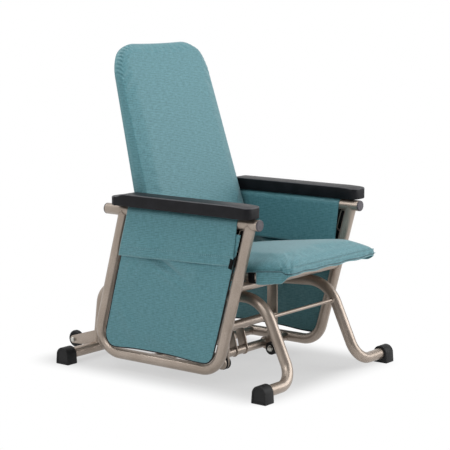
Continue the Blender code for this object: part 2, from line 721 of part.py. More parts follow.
# A slab with a plan outline, as one face extruded upward
def slab_mesh(plan, bottom, thickness):
    shape = bmesh.new()
    face = shape.faces.new([shape.verts.new((x, y, bottom)) for x, y in plan])
    face.normal_update()
    if face.normal.z > 0:
        face.normal_flip()
    lifted = bmesh.ops.extrude_face_region(shape, geom=[face], use_keep_orig=True)
    verts = [item for item in lifted["geom"] if isinstance(item, bmesh.types.BMVert)]
    bmesh.ops.translate(shape, vec=(0, 0, thickness), verts=verts)
    bmesh.ops.recalc_face_normals(shape, faces=shape.faces)
    mesh = bpy.data.meshes.new("slab")
    shape.to_mesh(mesh)
    shape.free()
    return mesh


def build_lower_frame():
    reach = FRAME_X - TUBE_RADIUS / 2
    pin_start = link_inner_x - 2 * GAP - CAP_THICKNESS - PIN_HEAD_LENGTH
    pin_end = tab_inner_x + TAB_THICKNESS + GAP + PIN_HEAD_LENGTH
    pin = bolt_profile(PIN_RADIUS, PIN_HEAD_RADIUS, PIN_HEAD_LENGTH, pin_end - pin_start, PIN_HEAD_LENGTH)
    for name, tube_y, pivot_y in (("front", front_lower_y, FRONT_PIVOT_Y),
                                  ("rear", rear_lower_y, REAR_PIVOT_Y)):
        ends = [Vector((x, tube_y, bottom_z)) for x in (-reach, reach)]
        tube = piece(f"{name}_lower_tube", tube_mesh(ends, CROSS_RADIUS), "powder_coat", glide_frame)
        pivot, seat = (pivot_y, lower_pivot_z), (tube_y, bottom_z)
        for side, sign in sides:
            weld(tube, plate_mesh(bar_outline(pivot, seat, TAB_RADIUS), sign * tab_inner_x,
                                  sign * (tab_inner_x + TAB_THICKNESS), [(pivot, bore(PIN_RADIUS))]))
            bolt = turned_mesh(pin, (sign * pin_start, *pivot), (sign, 0, 0))
            piece(f"lower_pivot_bolt_{name}_{side}", bolt, "bright_steel", glide_frame)
            if name == "front":
                weld(tube, bracket_plate_mesh(sign))
            x = sign * FRAME_X
            cut(tube, bar_mesh((x, arm_front_y, bottom_z), (x, arm_rear_y, bottom_z), bore(TUBE_RADIUS)))


# One plate of the bracket that stands on the front lower tube
def bracket_plate_mesh(sign):
    seat = (front_lower_y, bottom_z)
    tip = (front_lower_y + BRACKET_LEAN, bottom_z + BRACKET_RISE)
    inner = sign * BRACKET_HALF_SPACING
    return plate_mesh(bar_outline(seat, tip, BRACKET_RADIUS), inner, inner + sign * BRACKET_THICKNESS,
                      [(tip, BRACKET_HOLE_RADIUS)])


# The flap's cross-section over the arm tube: (x, z) from the inner hem, over the top, to the outer hem
def flap_section():
    arc = flap_x - FRAME_X
    step = pi / FLAP_ARC_CELLS
    section = [(-arc, -FLAP_DROP), (-arc, 0)]
    for cell in range(FLAP_ARC_CELLS):
        turn = step * (cell + 0.5)
        section.append((-arc * cos(turn) / cos(step / 2), arc * sin(turn) / cos(step / 2)))
    return section + [(arc, 0), (arc, -FLAP_DROP)]


def build_side_cloth():
    section = flap_section()
    front_y = FRONT_POST_Y + FLAP_FRONT_SETBACK
    rear_y = rear_post_y - FLAP_REAR_SETBACK
    for side, sign in sides:
        def place(across, along):
            x, z = section[round(across * (len(section) - 1))]
            drop = max(0, -z)
            start = front_y + FLAP_FRONT_SLOPE * drop
            end = rear_y + FLAP_REAR_SLOPE * drop
            return sign * (FRAME_X + x), start + (end - start) * along, arm_z + z

        flap = sheet_piece(f"side_flap_{side}", place, len(section) - 1, 1, SHEET_THICKNESS,
                           "teal_upholstery", glide_frame)
        drill_screw_holes(flap, sign)
        build_side_panel(side, sign)


def build_side_panel(side, sign):
    top = arm_z - PANEL_TOP_DROP
    low = bottom_z + TUBE_RADIUS + PANEL_FLOOR_GAP
    front_gap = TUBE_RADIUS / cos(POST_LEAN) + PANEL_FRONT_GAP
    rear_gap = TUBE_RADIUS / cos(POST_LEAN) + PANEL_REAR_GAP
    corners = [(post_y(FRONT_POST_Y, low) + front_gap, low), (post_y(rear_post_y, low) - rear_gap, low),
               (post_y(rear_post_y, top) - rear_gap, top), (post_y(FRONT_POST_Y, top) + front_gap, top)]
    outline = rounded_outline(corners, [PANEL_CORNER, PANEL_CORNER, PANEL_FRONT_GAP, PANEL_FRONT_GAP])
    outer = flap_x - SHEET_THICKNESS / 2 - GAP
    panel = plate_mesh(outline, sign * (outer - PANEL_THICKNESS), sign * outer)
    piece(f"side_panel_{side}", panel, "teal_upholstery", glide_frame)


def build_seat():
    reach = FRAME_X - TUBE_RADIUS / 2
    tube_ends = [Vector((x, seat_tube_y, seat_tube_z)) for x in (-reach, reach)]
    front_tube = piece("seat_front_tube", tube_mesh(tube_ends, CROSS_RADIUS), "powder_coat", glide_frame)
    for _, sign in sides:
        foot = (sign * FRAME_X, post_y(FRONT_POST_Y, bottom_z), bottom_z)
        cut(front_tube, bar_mesh(foot, (sign * FRAME_X, FRONT_POST_Y, arm_z), bore(TUBE_RADIUS)))
    corners = [(x, y, seat_loop_z(y)) for x, y in (
        (-seat_loop_x, seat_loop_front_y), (seat_loop_x, seat_loop_front_y),
        (seat_loop_x, seat_loop_rear_y), (-seat_loop_x, seat_loop_rear_y))]
    bends = [SEAT_LOOP_FRONT_BEND] * 2 + [SEAT_LOOP_BEND] * 2
    loop = bend_path(corners, bends, closed=True)
    piece("seat_frame", tube_mesh(loop, SEAT_TUBE_RADIUS, closed=True), "powder_coat", glide_frame)
    build_seat_pan()
    soft_piece("seat_cushion", seat_form, "teal_upholstery", glide_frame)
    build_skirt()
    build_tie_strap()


# The sheet steel pan on the seat frame, which carries the cushion out to its nose
def build_seat_pan():
    first, last = CUSHION_FRONT_Y + PAN_INSET, cushion_rear_y - PAN_INSET
    middle = (first + last) / 2
    tilt = Matrix.Rotation(-SEAT_PITCH, 4, "X")
    lift = tilt @ Vector((0, 0, SEAT_TUBE_RADIUS + GAP + STRAP_THICKNESS / 2))
    place = Matrix.Translation(Vector((0, middle, seat_loop_z(middle))) + lift) @ tilt
    half_width = seat_loop_x + STRAP_OVERHANG
    half_length = (last - first) / 2 / cos(SEAT_PITCH)
    outline = rounded_outline([(-half_width, -half_length), (half_width, -half_length),
                               (half_width, half_length), (-half_width, half_length)], [PAN_CORNER] * 4)
    piece("seat_pan", flat_mesh([outline], STRAP_THICKNESS, place), "powder_coat", glide_frame)


def cushion_half_width(y):
    return seat_half_width - CUSHION_DRAW * (1 - ((y - cushion_middle_y) / cushion_half_length) ** 2)


# The seat cushion: crowned on top, thin at the nose, with its sides drawn in between the corners
def seat_form(across, along, up):
    y = cushion_middle_y + along * cushion_half_length
    half_width = cushion_half_width(y)
    crown = CUSHION_CROWN * max(up, 0) * (1 - across ** 2) * (1 - along ** 2)
    nose = max(CUSHION_FRONT_Y + CUSHION_NOSE_LENGTH - y, 0) / CUSHION_NOSE_LENGTH
    thickness = CUSHION_THICKNESS - CUSHION_NOSE_DROP * nose ** 2
    z = cushion_bottom_z(y) + thickness * (up + 1) / 2 + crown
    return half_width * across, y, z


# The band of cover that hangs below the cushion: deep along the sides, and a narrow hem round the front
def build_skirt():
    front_y = CUSHION_FRONT_Y + SKIRT_INSET
    rear_x, front_x = cushion_half_width(SKIRT_REAR_Y) - SKIRT_INSET, seat_half_width - SKIRT_INSET
    corners = [(-rear_x, SKIRT_REAR_Y, 0), (-front_x, front_y, 0), (front_x, front_y, 0), (rear_x, SKIRT_REAR_Y, 0)]
    path = bend_path(corners, [SKIRT_BEND] * 2)

    def place(across, along):
        point = path[round(across * (len(path) - 1))]
        share = min(max((point.y - front_y) / SKIRT_TURN, 0), 1)
        drop = SKIRT_FRONT_DROP + (SKIRT_SIDE_DROP - SKIRT_FRONT_DROP) * share
        return point.x, point.y, cushion_bottom_z(point.y) - GAP - drop * along

    sheet_piece("seat_skirt", place, len(path) - 1, 1, SKIRT_THICKNESS, "teal_upholstery", glide_frame)


# The strap that goes under the seat frame and holds the cushion down at both sides
def build_tie_strap():
    x = seat_loop_x + SEAT_TUBE_RADIUS + GAP + TIE_STRAP_THICKNESS / 2
    top = cushion_bottom_z(tie_strap_y + TIE_STRAP_WIDTH / 2) - GAP
    low = seat_loop_z(tie_strap_y) - SEAT_TUBE_RADIUS - TIE_STRAP_TAIL
    path = [(-x, top), (-x, low), (x, low), (x, top)]

    def place(across, along):
        x, z = path[round(across * 3)]
        return x, tie_strap_y + TIE_STRAP_WIDTH * (along - 0.5), z

    sheet_piece("cushion_tie_strap", place, 3, 1, TIE_STRAP_THICKNESS, "black_webbing", glide_frame)


# The back cushion: crowned in front, tapered in depth and width, with round top corners
def back_form(across, deep, up):
    tall = up
    if up > 0:
        across_round = sqrt(1 - BACK_CORNER_ROUND * up ** 6 / 2)
        tall = up * sqrt(1 - BACK_CORNER_ROUND * across ** 6 / 2)
        across = across * across_round
    z = BACK_BOTTOM_Z + BACK_HEIGHT * (tall + 1) / 2
    share = (z - BACK_BOTTOM_Z) / BACK_HEIGHT
    half_width = BACK_BOTTOM_HALF_WIDTH + (BACK_TOP_HALF_WIDTH - BACK_BOTTOM_HALF_WIDTH) * share
    crown = BACK_CROWN * max(-deep, 0) * (1 - across ** 2) * (1 - up ** 2)
    y = back_front_y(z) + back_depth(z) * (deep + 1) / 2 - crown
    return half_width * across, y, z


def build_back():
    soft_piece("back_cushion", back_form, "teal_upholstery", glide_frame)
    top_z = BACK_BOTTOM_Z + BACK_HEIGHT - BACK_FRAME_TOP_DROP
    loop_z = seat_loop_z(seat_loop_rear_y)
    half = back_frame_x
    corners = [(-half, seat_loop_rear_y, loop_z), (-half, back_tube_y(top_z), top_z),
               (half, back_tube_y(top_z), top_z), (half, seat_loop_rear_y, loop_z)]
    frame = piece("back_frame", tube_mesh(bend_path(corners, [BACK_FRAME_BEND] * 2), SEAT_TUBE_RADIUS),
                  "powder_coat", glide_frame)
    cut(frame, bar_mesh((-seat_loop_x, seat_loop_rear_y, loop_z), (seat_loop_x, seat_loop_rear_y, loop_z),
                        bore(SEAT_TUBE_RADIUS)))
    cross_y = back_tube_y(arm_z) + (SEAT_TUBE_RADIUS + CROSS_RADIUS + GAP) * back_lean
    reach = FRAME_X - TUBE_RADIUS / 2
    ends = [Vector((x, cross_y, arm_z)) for x in (-reach, reach)]
    cross = piece("back_cross_tube", tube_mesh(ends, CROSS_RADIUS), "powder_coat", glide_frame)
    for _, sign in sides:
        x = sign * FRAME_X
        cut(cross, bar_mesh((x, arm_front_y, arm_z), (x, arm_rear_y, arm_z), bore(TUBE_RADIUS)))
    build_back_webbing(top_z)


def build_back_webbing(top_z):
    low = BACK_BOTTOM_Z + STRAP_END_MARGIN
    high = top_z - BACK_FRAME_BEND
    middle = (low + high) / 2
    turn = Matrix.Rotation(pi / 2 - atan2(back_rear_slope, 1), 4, "X")
    place = Matrix.Translation((0, back_rear_y(middle) + back_strap_offset, middle)) @ turn
    width = 2 * (back_frame_x + STRAP_OVERHANG)
    webbing = webbing_mesh(width, (high - low) * back_lean, STRAP_WIDTH, BACK_STRAPS, place)
    piece("back_webbing", webbing, "black_webbing", glide_frame)


build_base()
build_wheels()
build_links()
build_side_frames()
build_armrests()
build_lower_frame()
build_side_cloth()
build_seat()
build_back()
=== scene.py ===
from math import atan2, cos, exp, pi, radians, sin, sqrt, tan

import bmesh
import bpy
from mathutils import Matrix, Vector, noise


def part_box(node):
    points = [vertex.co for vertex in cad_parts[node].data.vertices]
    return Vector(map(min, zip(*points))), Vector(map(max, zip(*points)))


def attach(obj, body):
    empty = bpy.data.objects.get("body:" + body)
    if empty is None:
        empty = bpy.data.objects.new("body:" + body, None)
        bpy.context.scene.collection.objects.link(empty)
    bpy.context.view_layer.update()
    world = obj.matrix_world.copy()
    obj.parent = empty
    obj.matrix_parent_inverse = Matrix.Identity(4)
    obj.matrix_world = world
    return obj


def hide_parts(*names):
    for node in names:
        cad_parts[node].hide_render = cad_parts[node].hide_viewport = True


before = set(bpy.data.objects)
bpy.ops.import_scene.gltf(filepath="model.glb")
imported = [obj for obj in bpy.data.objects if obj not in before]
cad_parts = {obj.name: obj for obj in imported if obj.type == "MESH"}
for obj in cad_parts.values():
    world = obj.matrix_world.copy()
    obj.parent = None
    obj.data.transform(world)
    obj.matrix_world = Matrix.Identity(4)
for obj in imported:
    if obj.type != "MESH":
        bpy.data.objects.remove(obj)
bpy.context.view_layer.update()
scene = bpy.context.scene
sides = (("left", 1), ("right", -1))
cutEdge = 0.0008  # broken edge on cut and turned steel
weldFromZ = 0.40  # a height on the posts and the back tube, from which their welds are looked up
print("frame loaded:", len(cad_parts), "nodes")


# sRGB hex to the linear colour that the shaders take
def linear(code):
    parts = [int(code[i:i + 2], 16) / 255 for i in (1, 3, 5)]
    return tuple(c / 12.92 if c <= 0.04045 else ((c + 0.055) / 1.055) ** 2.4 for c in parts) + (1,)


# adds a node, fills in its settings and links its inputs
def addNode(tree, kind, settings=None, links=None):
    node = tree.nodes.new(kind)
    for key, value in (settings or {}).items():
        if isinstance(key, int) or key in node.inputs:
            node.inputs[key].default_value = value
        else:
            setattr(node, key, value)
    for key, source in (links or {}).items():
        tree.links.new(source, node.inputs[key])
    return node


def startMaterial(name, look):
    material = bpy.data.materials.new(name)
    material.use_nodes = True
    tree = material.node_tree
    tree.nodes.clear()
    shader = addNode(tree, "ShaderNodeBsdfPrincipled", look)
    addNode(tree, "ShaderNodeOutputMaterial", None, {"Surface": shader.outputs[0]})
    return material, tree, shader


# leads patterns to the shader's colour, gloss and relief
def finishMaterial(tree, shader, paint, dull=None, relief=None):
    tone, dark, light, span = paint
    colour = addNode(tree, "ShaderNodeValToRGB", None, {"Fac": tone})
    for end, code, position in zip(colour.color_ramp.elements, (dark, light), span):
        end.position, end.color = position, linear(code)
    tree.links.new(colour.outputs[0], shader.inputs["Base Color"])
    if dull:
        source, low, high = dull
        rough = addNode(tree, "ShaderNodeMapRange", {"To Min": low, "To Max": high}, {"Value": source})
        tree.links.new(rough.outputs[0], shader.inputs["Roughness"])
    if relief:
        source, strength, distance = relief
        bump = addNode(tree, "ShaderNodeBump", {"Strength": strength, "Distance": distance},
                       {"Height": source})
        tree.links.new(bump.outputs[0], shader.inputs["Normal"])


def noiseScale(grain):  # grain in mm
    return 1000 / grain


def waveScale(pitch):  # pitch in mm; a band repeats every 2 pi / 20 at scale 1
    return 1000 * 2 * pi / 20 / pitch


# Champagne powder coat on steel tube: a satin metallic paint, with fine flake and slight orange peel
def makePowderCoat():
    coat = {"light": "#b0a398", "dark": "#94877b", "flake": 2.2, "cloud": 90, "peel": 3.5}  # grains in mm
    look = {"Metallic": 0.70, "Coat Weight": 0.08, "Coat Roughness": 0.30}
    material, tree, shader = startMaterial("powder_coated_steel", look)
    place = addNode(tree, "ShaderNodeTexCoord").outputs["Object"]
    grains = []
    for grain, detail in (("flake", 2), ("cloud", 3), ("peel", 1)):
        settings = {"Scale": noiseScale(coat[grain]), "Detail": detail}
        grains.append(addNode(tree, "ShaderNodeTexNoise", settings, {"Vector": place}).outputs[0])
    flake, cloud, peel = grains
    speckle = addNode(tree, "ShaderNodeMath", {"operation": "MULTIPLY"}, {0: flake, 1: cloud}).outputs[0]
    finishMaterial(tree, shader, (speckle, coat["dark"], coat["light"], (0.12, 0.42)),
                   (cloud, 0.31, 0.41), (peel, 0.10, 0.0003))
    return material


# Coated upholstery cloth: slubby threads both ways under a satin film, which veils the teal with pale light.
# The threads are drawn coarse, since a real 0.6 mm thread would vanish at this size.
def makeCover(name, light, dark, rough, byCloth=True):
    weave = {"thread": 4.6, "slub": (2.9, 16), "streak": 0.36, "crossed": 0.22}  # thread and slub in mm
    look = {"Sheen Weight": 0.35, "Sheen Roughness": 0.45, "Specular IOR Level": 0.64}
    material, tree, shader = startMaterial(name, look)
    if byCloth:
        place = addNode(tree, "ShaderNodeUVMap", {"uv_map": "cloth"}).outputs["UV"]
    else:
        place = addNode(tree, "ShaderNodeTexCoord").outputs["Object"]
    fine, long = (noiseScale(size) for size in weave["slub"])
    slubs = []
    for stretch in ((long, fine, fine), (fine, long, fine)):
        turned = addNode(tree, "ShaderNodeMapping", {"Scale": stretch}, {"Vector": place})
        slub = addNode(tree, "ShaderNodeTexNoise", {"Scale": 1, "Detail": 2}, {"Vector": turned.outputs[0]})
        slubs.append(slub.outputs[0])
    bands = {"wave_type": "BANDS", "Scale": waveScale(weave["thread"]), "Distortion": 1.0, "Detail": 1}
    threads = []
    for way in ("X", "Y"):
        wave = addNode(tree, "ShaderNodeTexWave", {**bands, "bands_direction": way}, {"Vector": place})
        threads.append(wave.outputs["Fac"])
    crossed = addNode(tree, "ShaderNodeMath", {"operation": "MULTIPLY"}, {0: threads[0], 1: threads[1]})
    streak = addNode(tree, "ShaderNodeMix", {"Factor": weave["streak"]}, {"A": slubs[0], "B": slubs[1]})
    tone = addNode(tree, "ShaderNodeMix", {"Factor": weave["crossed"]},
                   {"A": streak.outputs[0], "B": crossed.outputs[0]}).outputs[0]
    finishMaterial(tree, shader, (tone, dark, light, (0.33, 0.57)), (tone, rough + 0.12, rough),
                   (tone, 0.35, 0.0004))
    return material


# A moulded black or grey polymer: matt, with a fine grain off the mould and a faint bloom of wear
def makePolymer(name, base, worn, rough, grain, relief, gloss=0.32):
    wear = 35  # mm across a patch of bloom
    material, tree, shader = startMaterial(name, {"Specular IOR Level": gloss})
    place = addNode(tree, "ShaderNodeTexCoord").outputs["Object"]
    cells = addNode(tree, "ShaderNodeTexVoronoi", {"Scale": noiseScale(grain), "feature": "F1"},
                    {"Vector": place}).outputs[0]
    cloud = addNode(tree, "ShaderNodeTexNoise", {"Scale": noiseScale(wear), "Detail": 4},
                    {"Vector": place}).outputs[0]
    finishMaterial(tree, shader, (cloud, base, worn, (0.38, 0.72)), (cloud, rough - 0.07, rough + 0.08),
                   (cells, relief, 0.0004))
    return material


# Bright zinc plate on turned and forged steel: cool, with a slightly uneven gloss
def makeZinc():
    material, tree, shader = startMaterial("zinc_plated_steel", {"Metallic": 1.0})
    place = addNode(tree, "ShaderNodeTexCoord").outputs["Object"]
    cloud = addNode(tree, "ShaderNodeTexNoise", {"Scale": noiseScale(6), "Detail": 3},
                    {"Vector": place}).outputs[0]
    finishMaterial(tree, shader, (cloud, "#a7a6a1", "#d6d4cd", (0, 1)), (cloud, 0.20, 0.38))
    return material


# Woven nylon webbing: ribs across the strap, 2 mm apart, on a dull black yarn
def makeWebbing():
    look = {"Roughness": 0.85, "Specular IOR Level": 0.15}
    material, tree, shader = startMaterial("woven_nylon_webbing", look)
    place = addNode(tree, "ShaderNodeUVMap", {"uv_map": "cloth"}).outputs[0]
    bands = {"wave_type": "BANDS", "bands_direction": "X", "Scale": waveScale(2), "Distortion": 0.8}
    ribs = addNode(tree, "ShaderNodeTexWave", bands, {"Vector": place}).outputs["Fac"]
    finishMaterial(tree, shader, (ribs, "#040405", "#0e0e10", (0, 1)), None, (ribs, 0.5, 0.0005))
    return material


powderCoat = makePowderCoat()
cover = makeCover("coated_woven_cover", "#558c95", "#386e76", 0.53)
# a paler teal for hem piping and stitches: paler thread, and a painted highlight along the lit hem edges
coverThreadAndEdgeHighlight = makeCover("cover_thread_and_painted_edge_highlight", "#76a3aa", "#5d8f97", 0.66, False)
# a darker teal for the seat's seam piping: painted shadow along the seam
coverSeamShadow = makeCover("cover_painted_seam_shadow", "#35626a", "#244a51", 0.66, False)
# a lighter polyurethane for the armrests' top chamfers: a painted highlight along their top edges
armChamferHighlight = makePolymer("polyurethane_painted_chamfer_highlight", "#3a3a3e", "#48484c", 0.40, 1.8, 0.2)
armFoam = makePolymer("moulded_polyurethane", "#121215", "#1a1a1e", 0.44, 1.8, 0.25, 0.16)
rubber = makePolymer("moulded_rubber", "#0b0b0c", "#141415", 0.58, 1.4, 0.25)
nylon = makePolymer("moulded_nylon", "#4c484d", "#5a565b", 0.46, 1.2, 0.12)
zinc = makeZinc()
webbing = makeWebbing()
finishes = {"steel": (powderCoat, "powder_coat"), "rubber": (rubber, "black_rubber"),
            "bolt": (zinc, "bright_steel"), "plug": (nylon, "grey_plastic"), "pad": (armFoam, "armrest_foam"),
            "cover": (cover, "teal_upholstery"), "coverThreadAndEdgeHighlight": (coverThreadAndEdgeHighlight, "teal_upholstery"),
            "coverSeamShadow": (coverSeamShadow, "teal_upholstery"), "strap": (webbing, "black_webbing"),
            "edging": (rubber, "black_webbing")}
print("materials made")


# makes a piece of a bmesh, with its finish, the body it rides on and the solids it stands for
def newPiece(bm, name, finish, body, nodes, crease=40):
    material, slot = finishes[finish]
    bmesh.ops.remove_doubles(bm, verts=bm.verts, dist=0.00002)
    bmesh.ops.recalc_face_normals(bm, faces=bm.faces)
    mesh = bpy.data.meshes.new(name)
    bm.to_mesh(mesh)
    bm.free()
    mesh.shade_smooth()
    mesh.set_sharp_from_angle(angle=radians(crease))
    mesh.materials.append(material)
    piece = bpy.data.objects.new(name, mesh)
    scene.collection.objects.link(piece)
    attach(piece, body)
    if nodes:
        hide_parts(*nodes)
    return piece


def smooth(share):
    share = min(max(share, 0), 1)
    return share * share * (3 - 2 * share)


# a place whose z axis lies along a direction
def aimed(spot, direction):
    return Matrix.Translation(spot) @ Vector(direction).to_track_quat("Z", "Y").to_matrix().to_4x4()


def edgesOf(verts):
    return {edge for vert in verts for edge in vert.link_edges}


def bevelEdges(bm, edges, width, steps=2, material=-1, clamp=False):
    bmesh.ops.bevel(bm, geom=list(edges), offset=width, affect="EDGES", segments=steps, profile=0.5,
                    material=material, clamp_overlap=clamp)


# A tube along corners: a ring that is drawn out straight and spun round each bend
def sweepTube(bm, corners, bends, radius, cap=True, ringSides=28):
    bendStep = radians(6)
    points = [Vector(corner) for corner in corners]
    heading = (points[1] - points[0]).normalized()
    spot = points[0]
    made = bmesh.ops.create_circle(bm, cap_ends=False, radius=radius, segments=ringSides,
                                   matrix=aimed(spot, heading))
    ring = firstRing = list(edgesOf(made["verts"]))
    for index in range(1, len(points)):
        bend, turn = 0, 0
        if index < len(points) - 1:
            onward = (points[index + 1] - points[index]).normalized()
            turn = heading.angle(onward)
            bend = bends[index - 1]
        bendStart = points[index] - heading * bend * tan(turn / 2)
        out = bmesh.ops.extrude_edge_only(bm, edges=ring)["geom"]
        drawn = [g for g in out if isinstance(g, bmesh.types.BMVert)]
        bmesh.ops.translate(bm, vec=bendStart - spot, verts=drawn)
        ring = [g for g in out if isinstance(g, bmesh.types.BMEdge)]
        spot = bendStart
        if turn > 0.001:
            axle = heading.cross(onward).normalized()
            middle = bendStart + axle.cross(heading) * bend
            rim = ring + list({vert for edge in ring for vert in edge.verts})
            steps = max(4, round(turn / bendStep))
            out = bmesh.ops.spin(bm, geom=rim, cent=middle, axis=axle, angle=turn, steps=steps)["geom_last"]
            ring = [g for g in out if isinstance(g, bmesh.types.BMEdge)]
            spot = points[index] + onward * bend * tan(turn / 2)
            heading = onward
    if cap:
        for end in (firstRing, ring):
            bmesh.ops.contextual_create(bm, geom=end)


def rod(bm, start, end, radius, bevel=0, ringSides=28):
    start, end = Vector(start), Vector(end)
    made = bmesh.ops.create_cone(bm, cap_ends=True, segments=ringSides, radius1=radius, radius2=radius,
                                 depth=(end - start).length, matrix=aimed((start + end) / 2, end - start))
    if bevel:
        rims = [edge for edge in edgesOf(made["verts"]) if len(edge.link_faces) == 2
                and any(len(face.verts) > 4 for face in edge.link_faces)]
        bevelEdges(bm, rims, bevel)


# A plate whose outline wraps round a few circles (y, z, radius), from x = low to x = high
def wrapPlate(bm, circles, low, high, bevel=cutEdge):
    before = set(bm.verts)

    def added():
        return [vert for vert in bm.verts if vert not in before]

    for y, z, radius in circles:
        bmesh.ops.create_cone(bm, cap_ends=True, segments=40, radius1=radius, radius2=radius,
                              depth=high - low, matrix=aimed(((low + high) / 2, y, z), (1, 0, 0)))
    out = bmesh.ops.convex_hull(bm, input=added())
    inside = {g for key in ("geom_interior", "geom_unused") for g in out[key]
              if isinstance(g, bmesh.types.BMVert)}
    bmesh.ops.delete(bm, geom=[vert for vert in inside if vert.is_valid], context="VERTS")
    bmesh.ops.dissolve_limit(bm, angle_limit=radians(1), verts=added(), edges=list(edgesOf(added())))
    rims = [edge for edge in edgesOf(added()) if len(edge.link_faces) == 2
            and edge.calc_face_angle() > radians(60)]
    bevelEdges(bm, rims, bevel)


# A turned shape: an (across, along) line spun round an axis that starts at a point
def lathe(bm, line, start, direction, ringSides=36):
    place = aimed(start, direction)
    verts = [bm.verts.new(place @ Vector((across, 0, along))) for across, along in line]
    edges = [bm.edges.new(pair) for pair in zip(verts, verts[1:])]
    bmesh.ops.spin(bm, geom=verts + edges, cent=start, axis=Vector(direction).normalized(), angle=2 * pi,
                   steps=ringSides, use_merge=True)


# Where a round bar meets a tube: the bead of weld round the joint
def weldBead(bm, start, heading, radius, tubePoint, tubeHeading, tubeRadius, bead=0.0019):
    steps = 32
    heading, along = Vector(heading).normalized(), Vector(tubeHeading).normalized()
    side = heading.cross(along).normalized()
    other = heading.cross(side)
    flat = heading - along * heading.dot(along)
    centres = []
    for step in range(steps):
        angle = 2 * pi * step / steps
        foot = Vector(start) + radius * (side * cos(angle) + other * sin(angle))
        gap = foot - Vector(tubePoint)
        gap -= along * gap.dot(along)
        half = gap.dot(flat) / flat.length_squared
        rest = (gap.length_squared - tubeRadius ** 2) / flat.length_squared
        centres.append(foot + heading * (-half - sqrt(max(half * half - rest, 0))))
    rings = []
    for index, centre in enumerate(centres):
        onward = centres[(index + 1) % steps] - centres[index - 1]
        ripple = bead * (1 + 0.16 * sin(index * 2.9))
        made = bmesh.ops.create_circle(bm, segments=8, radius=ripple, matrix=aimed(centre, onward))
        rings.append(list(edgesOf(made["verts"])))
    for first, second in zip(rings, rings[1:] + rings[:1]):
        bmesh.ops.bridge_loops(bm, edges=first + second)


def beadRing(bm, centre, direction, radius, bead=0.0018):
    ring = [(radius + bead * cos(pi * step / 5), bead * sin(pi * step / 5)) for step in range(11)]
    lathe(bm, ring, Vector(centre), direction, 40)


# A hexagon head or nut on a thin round washer
def hexHead(bm, start, direction, flats, height):
    washer, point = 0.0013, flats / sqrt(3)
    direction = Vector(direction).normalized()
    start = Vector(start)
    lathe(bm, [(0, 0), (flats * 0.62, 0), (flats * 0.62, 0.0010), (flats * 0.60, washer), (0, washer)],
          start, direction)
    middle = start + direction * (0.0012 + height / 2)
    made = bmesh.ops.create_cone(bm, cap_ends=True, segments=6, radius1=point, radius2=point, depth=height,
                                 matrix=aimed(middle, direction))
    top = [edge for edge in edgesOf(made["verts"]) if any(len(face.verts) == 6 for face in edge.link_faces)]
    bevelEdges(bm, top, 0.0009)


# Base: two arched rails, a rear cross tube, a tie rod and four feet
base = {"tube": 0.015875, "railX": 0.161, "railHeight": 0.233, "railSlope": tan(radians(3.55)),
        "footZ": 0.028, "frontFootY": -0.4065, "rearFootY": 0.316, "stubX": 0.3127,
        "frontLean": tan(radians(25.3)), "rearLean": tan(radians(7)), "bends": (0.058, 0.100, 0.060),
        "boss": 0.011, "bossX": 0.1193, "tie": 0.005, "tieZ": 0.200, "collar": 0.009,
        "footX": (0.279, 0.319), "footRadius": 0.0225, "soleHalf": 0.0245, "soleEdge": 0.0025,
        "footBevel": 0.0022}
pivotY = {"front": -0.132, "rear": 0.072}
upperZ, lowerZ = 0.2348612, 0.0348612
wheel = {"y": 0.406, "z": 0.038, "half": 0.011, "eye": 0.012, "plate": (0.012, 0.015), "axle": 0.004,
         "root": 0.006, "rootZ": (0.035, 0.077), "rootEdge": 0.003, "bolt": 0.0160, "headAt": 0.0152,
         "head": (0.0125, 0.0042)}


def railZ(y):
    return base["railHeight"] - base["railSlope"] * y


def railCorners(sign):
    rise = base["railHeight"] - base["footZ"]
    archY = (base["frontFootY"] + base["frontLean"] * rise) / (1 + base["frontLean"] * base["railSlope"])
    rearY = (base["rearFootY"] - base["rearLean"] * rise) / (1 - base["rearLean"] * base["railSlope"])
    x = sign * base["railX"]
    return [Vector(p) for p in ((sign * base["stubX"], base["frontFootY"], base["footZ"]),
                                (x, base["frontFootY"], base["footZ"]), (x, archY, railZ(archY)),
                                (x, rearY, railZ(rearY)), (x, base["rearFootY"], base["footZ"]))]


for side, sign in sides:
    bm = bmesh.new()
    corners = railCorners(sign)
    sweepTube(bm, corners, base["bends"], base["tube"])
    for y in pivotY.values():
        start = (sign * base["bossX"], y, upperZ)
        rod(bm, start, (sign * base["railX"], y, upperZ), base["boss"], cutEdge)
        weldBead(bm, start, (sign, 0, 0), base["boss"], corners[2], corners[3] - corners[2], base["tube"])
    weldBead(bm, corners[3], corners[4] - corners[3], base["tube"], corners[4], (1, 0, 0), base["tube"])
    fork = [(wheel["y"], wheel["z"], wheel["eye"])]
    fork += [(base["rearFootY"] - wheel["root"], z, wheel["rootEdge"]) for z in wheel["rootZ"]]
    for face in (-1, 1):
        low, high = sorted(sign * base["railX"] + face * reach for reach in wheel["plate"])
        wrapPlate(bm, fork, low, high)
    newPiece(bm, f"railTube_{side}", "steel", "base", [f"base_rail_{side}"])

bm = bmesh.new()
rod(bm, (-base["stubX"], base["rearFootY"], base["footZ"]), (base["stubX"], base["rearFootY"], base["footZ"]),
    base["tube"], cutEdge)
newPiece(bm, "rearCrossTube", "steel", "base", ["rear_cross_tube"])

bm = bmesh.new()
tieY = base["frontFootY"] + base["frontLean"] * (base["tieZ"] - base["footZ"])
tieEnd = base["railX"] - base["tube"] + 0.001
collar = [(0, 0), (0.0085, 0), (base["collar"], 0.0006), (base["collar"], 0.0028), (0.0074, 0.0046),
          (base["tie"], 0.0052), (0, 0.0052)]
rod(bm, (-tieEnd, tieY, base["tieZ"]), (tieEnd, tieY, base["tieZ"]), base["tie"])
for _, sign in sides:
    lathe(bm, collar, (sign * tieEnd, tieY, base["tieZ"]), (-sign, 0, 0))
newPiece(bm, "frontTieRod", "steel", "base", ["front_tie_rod"])

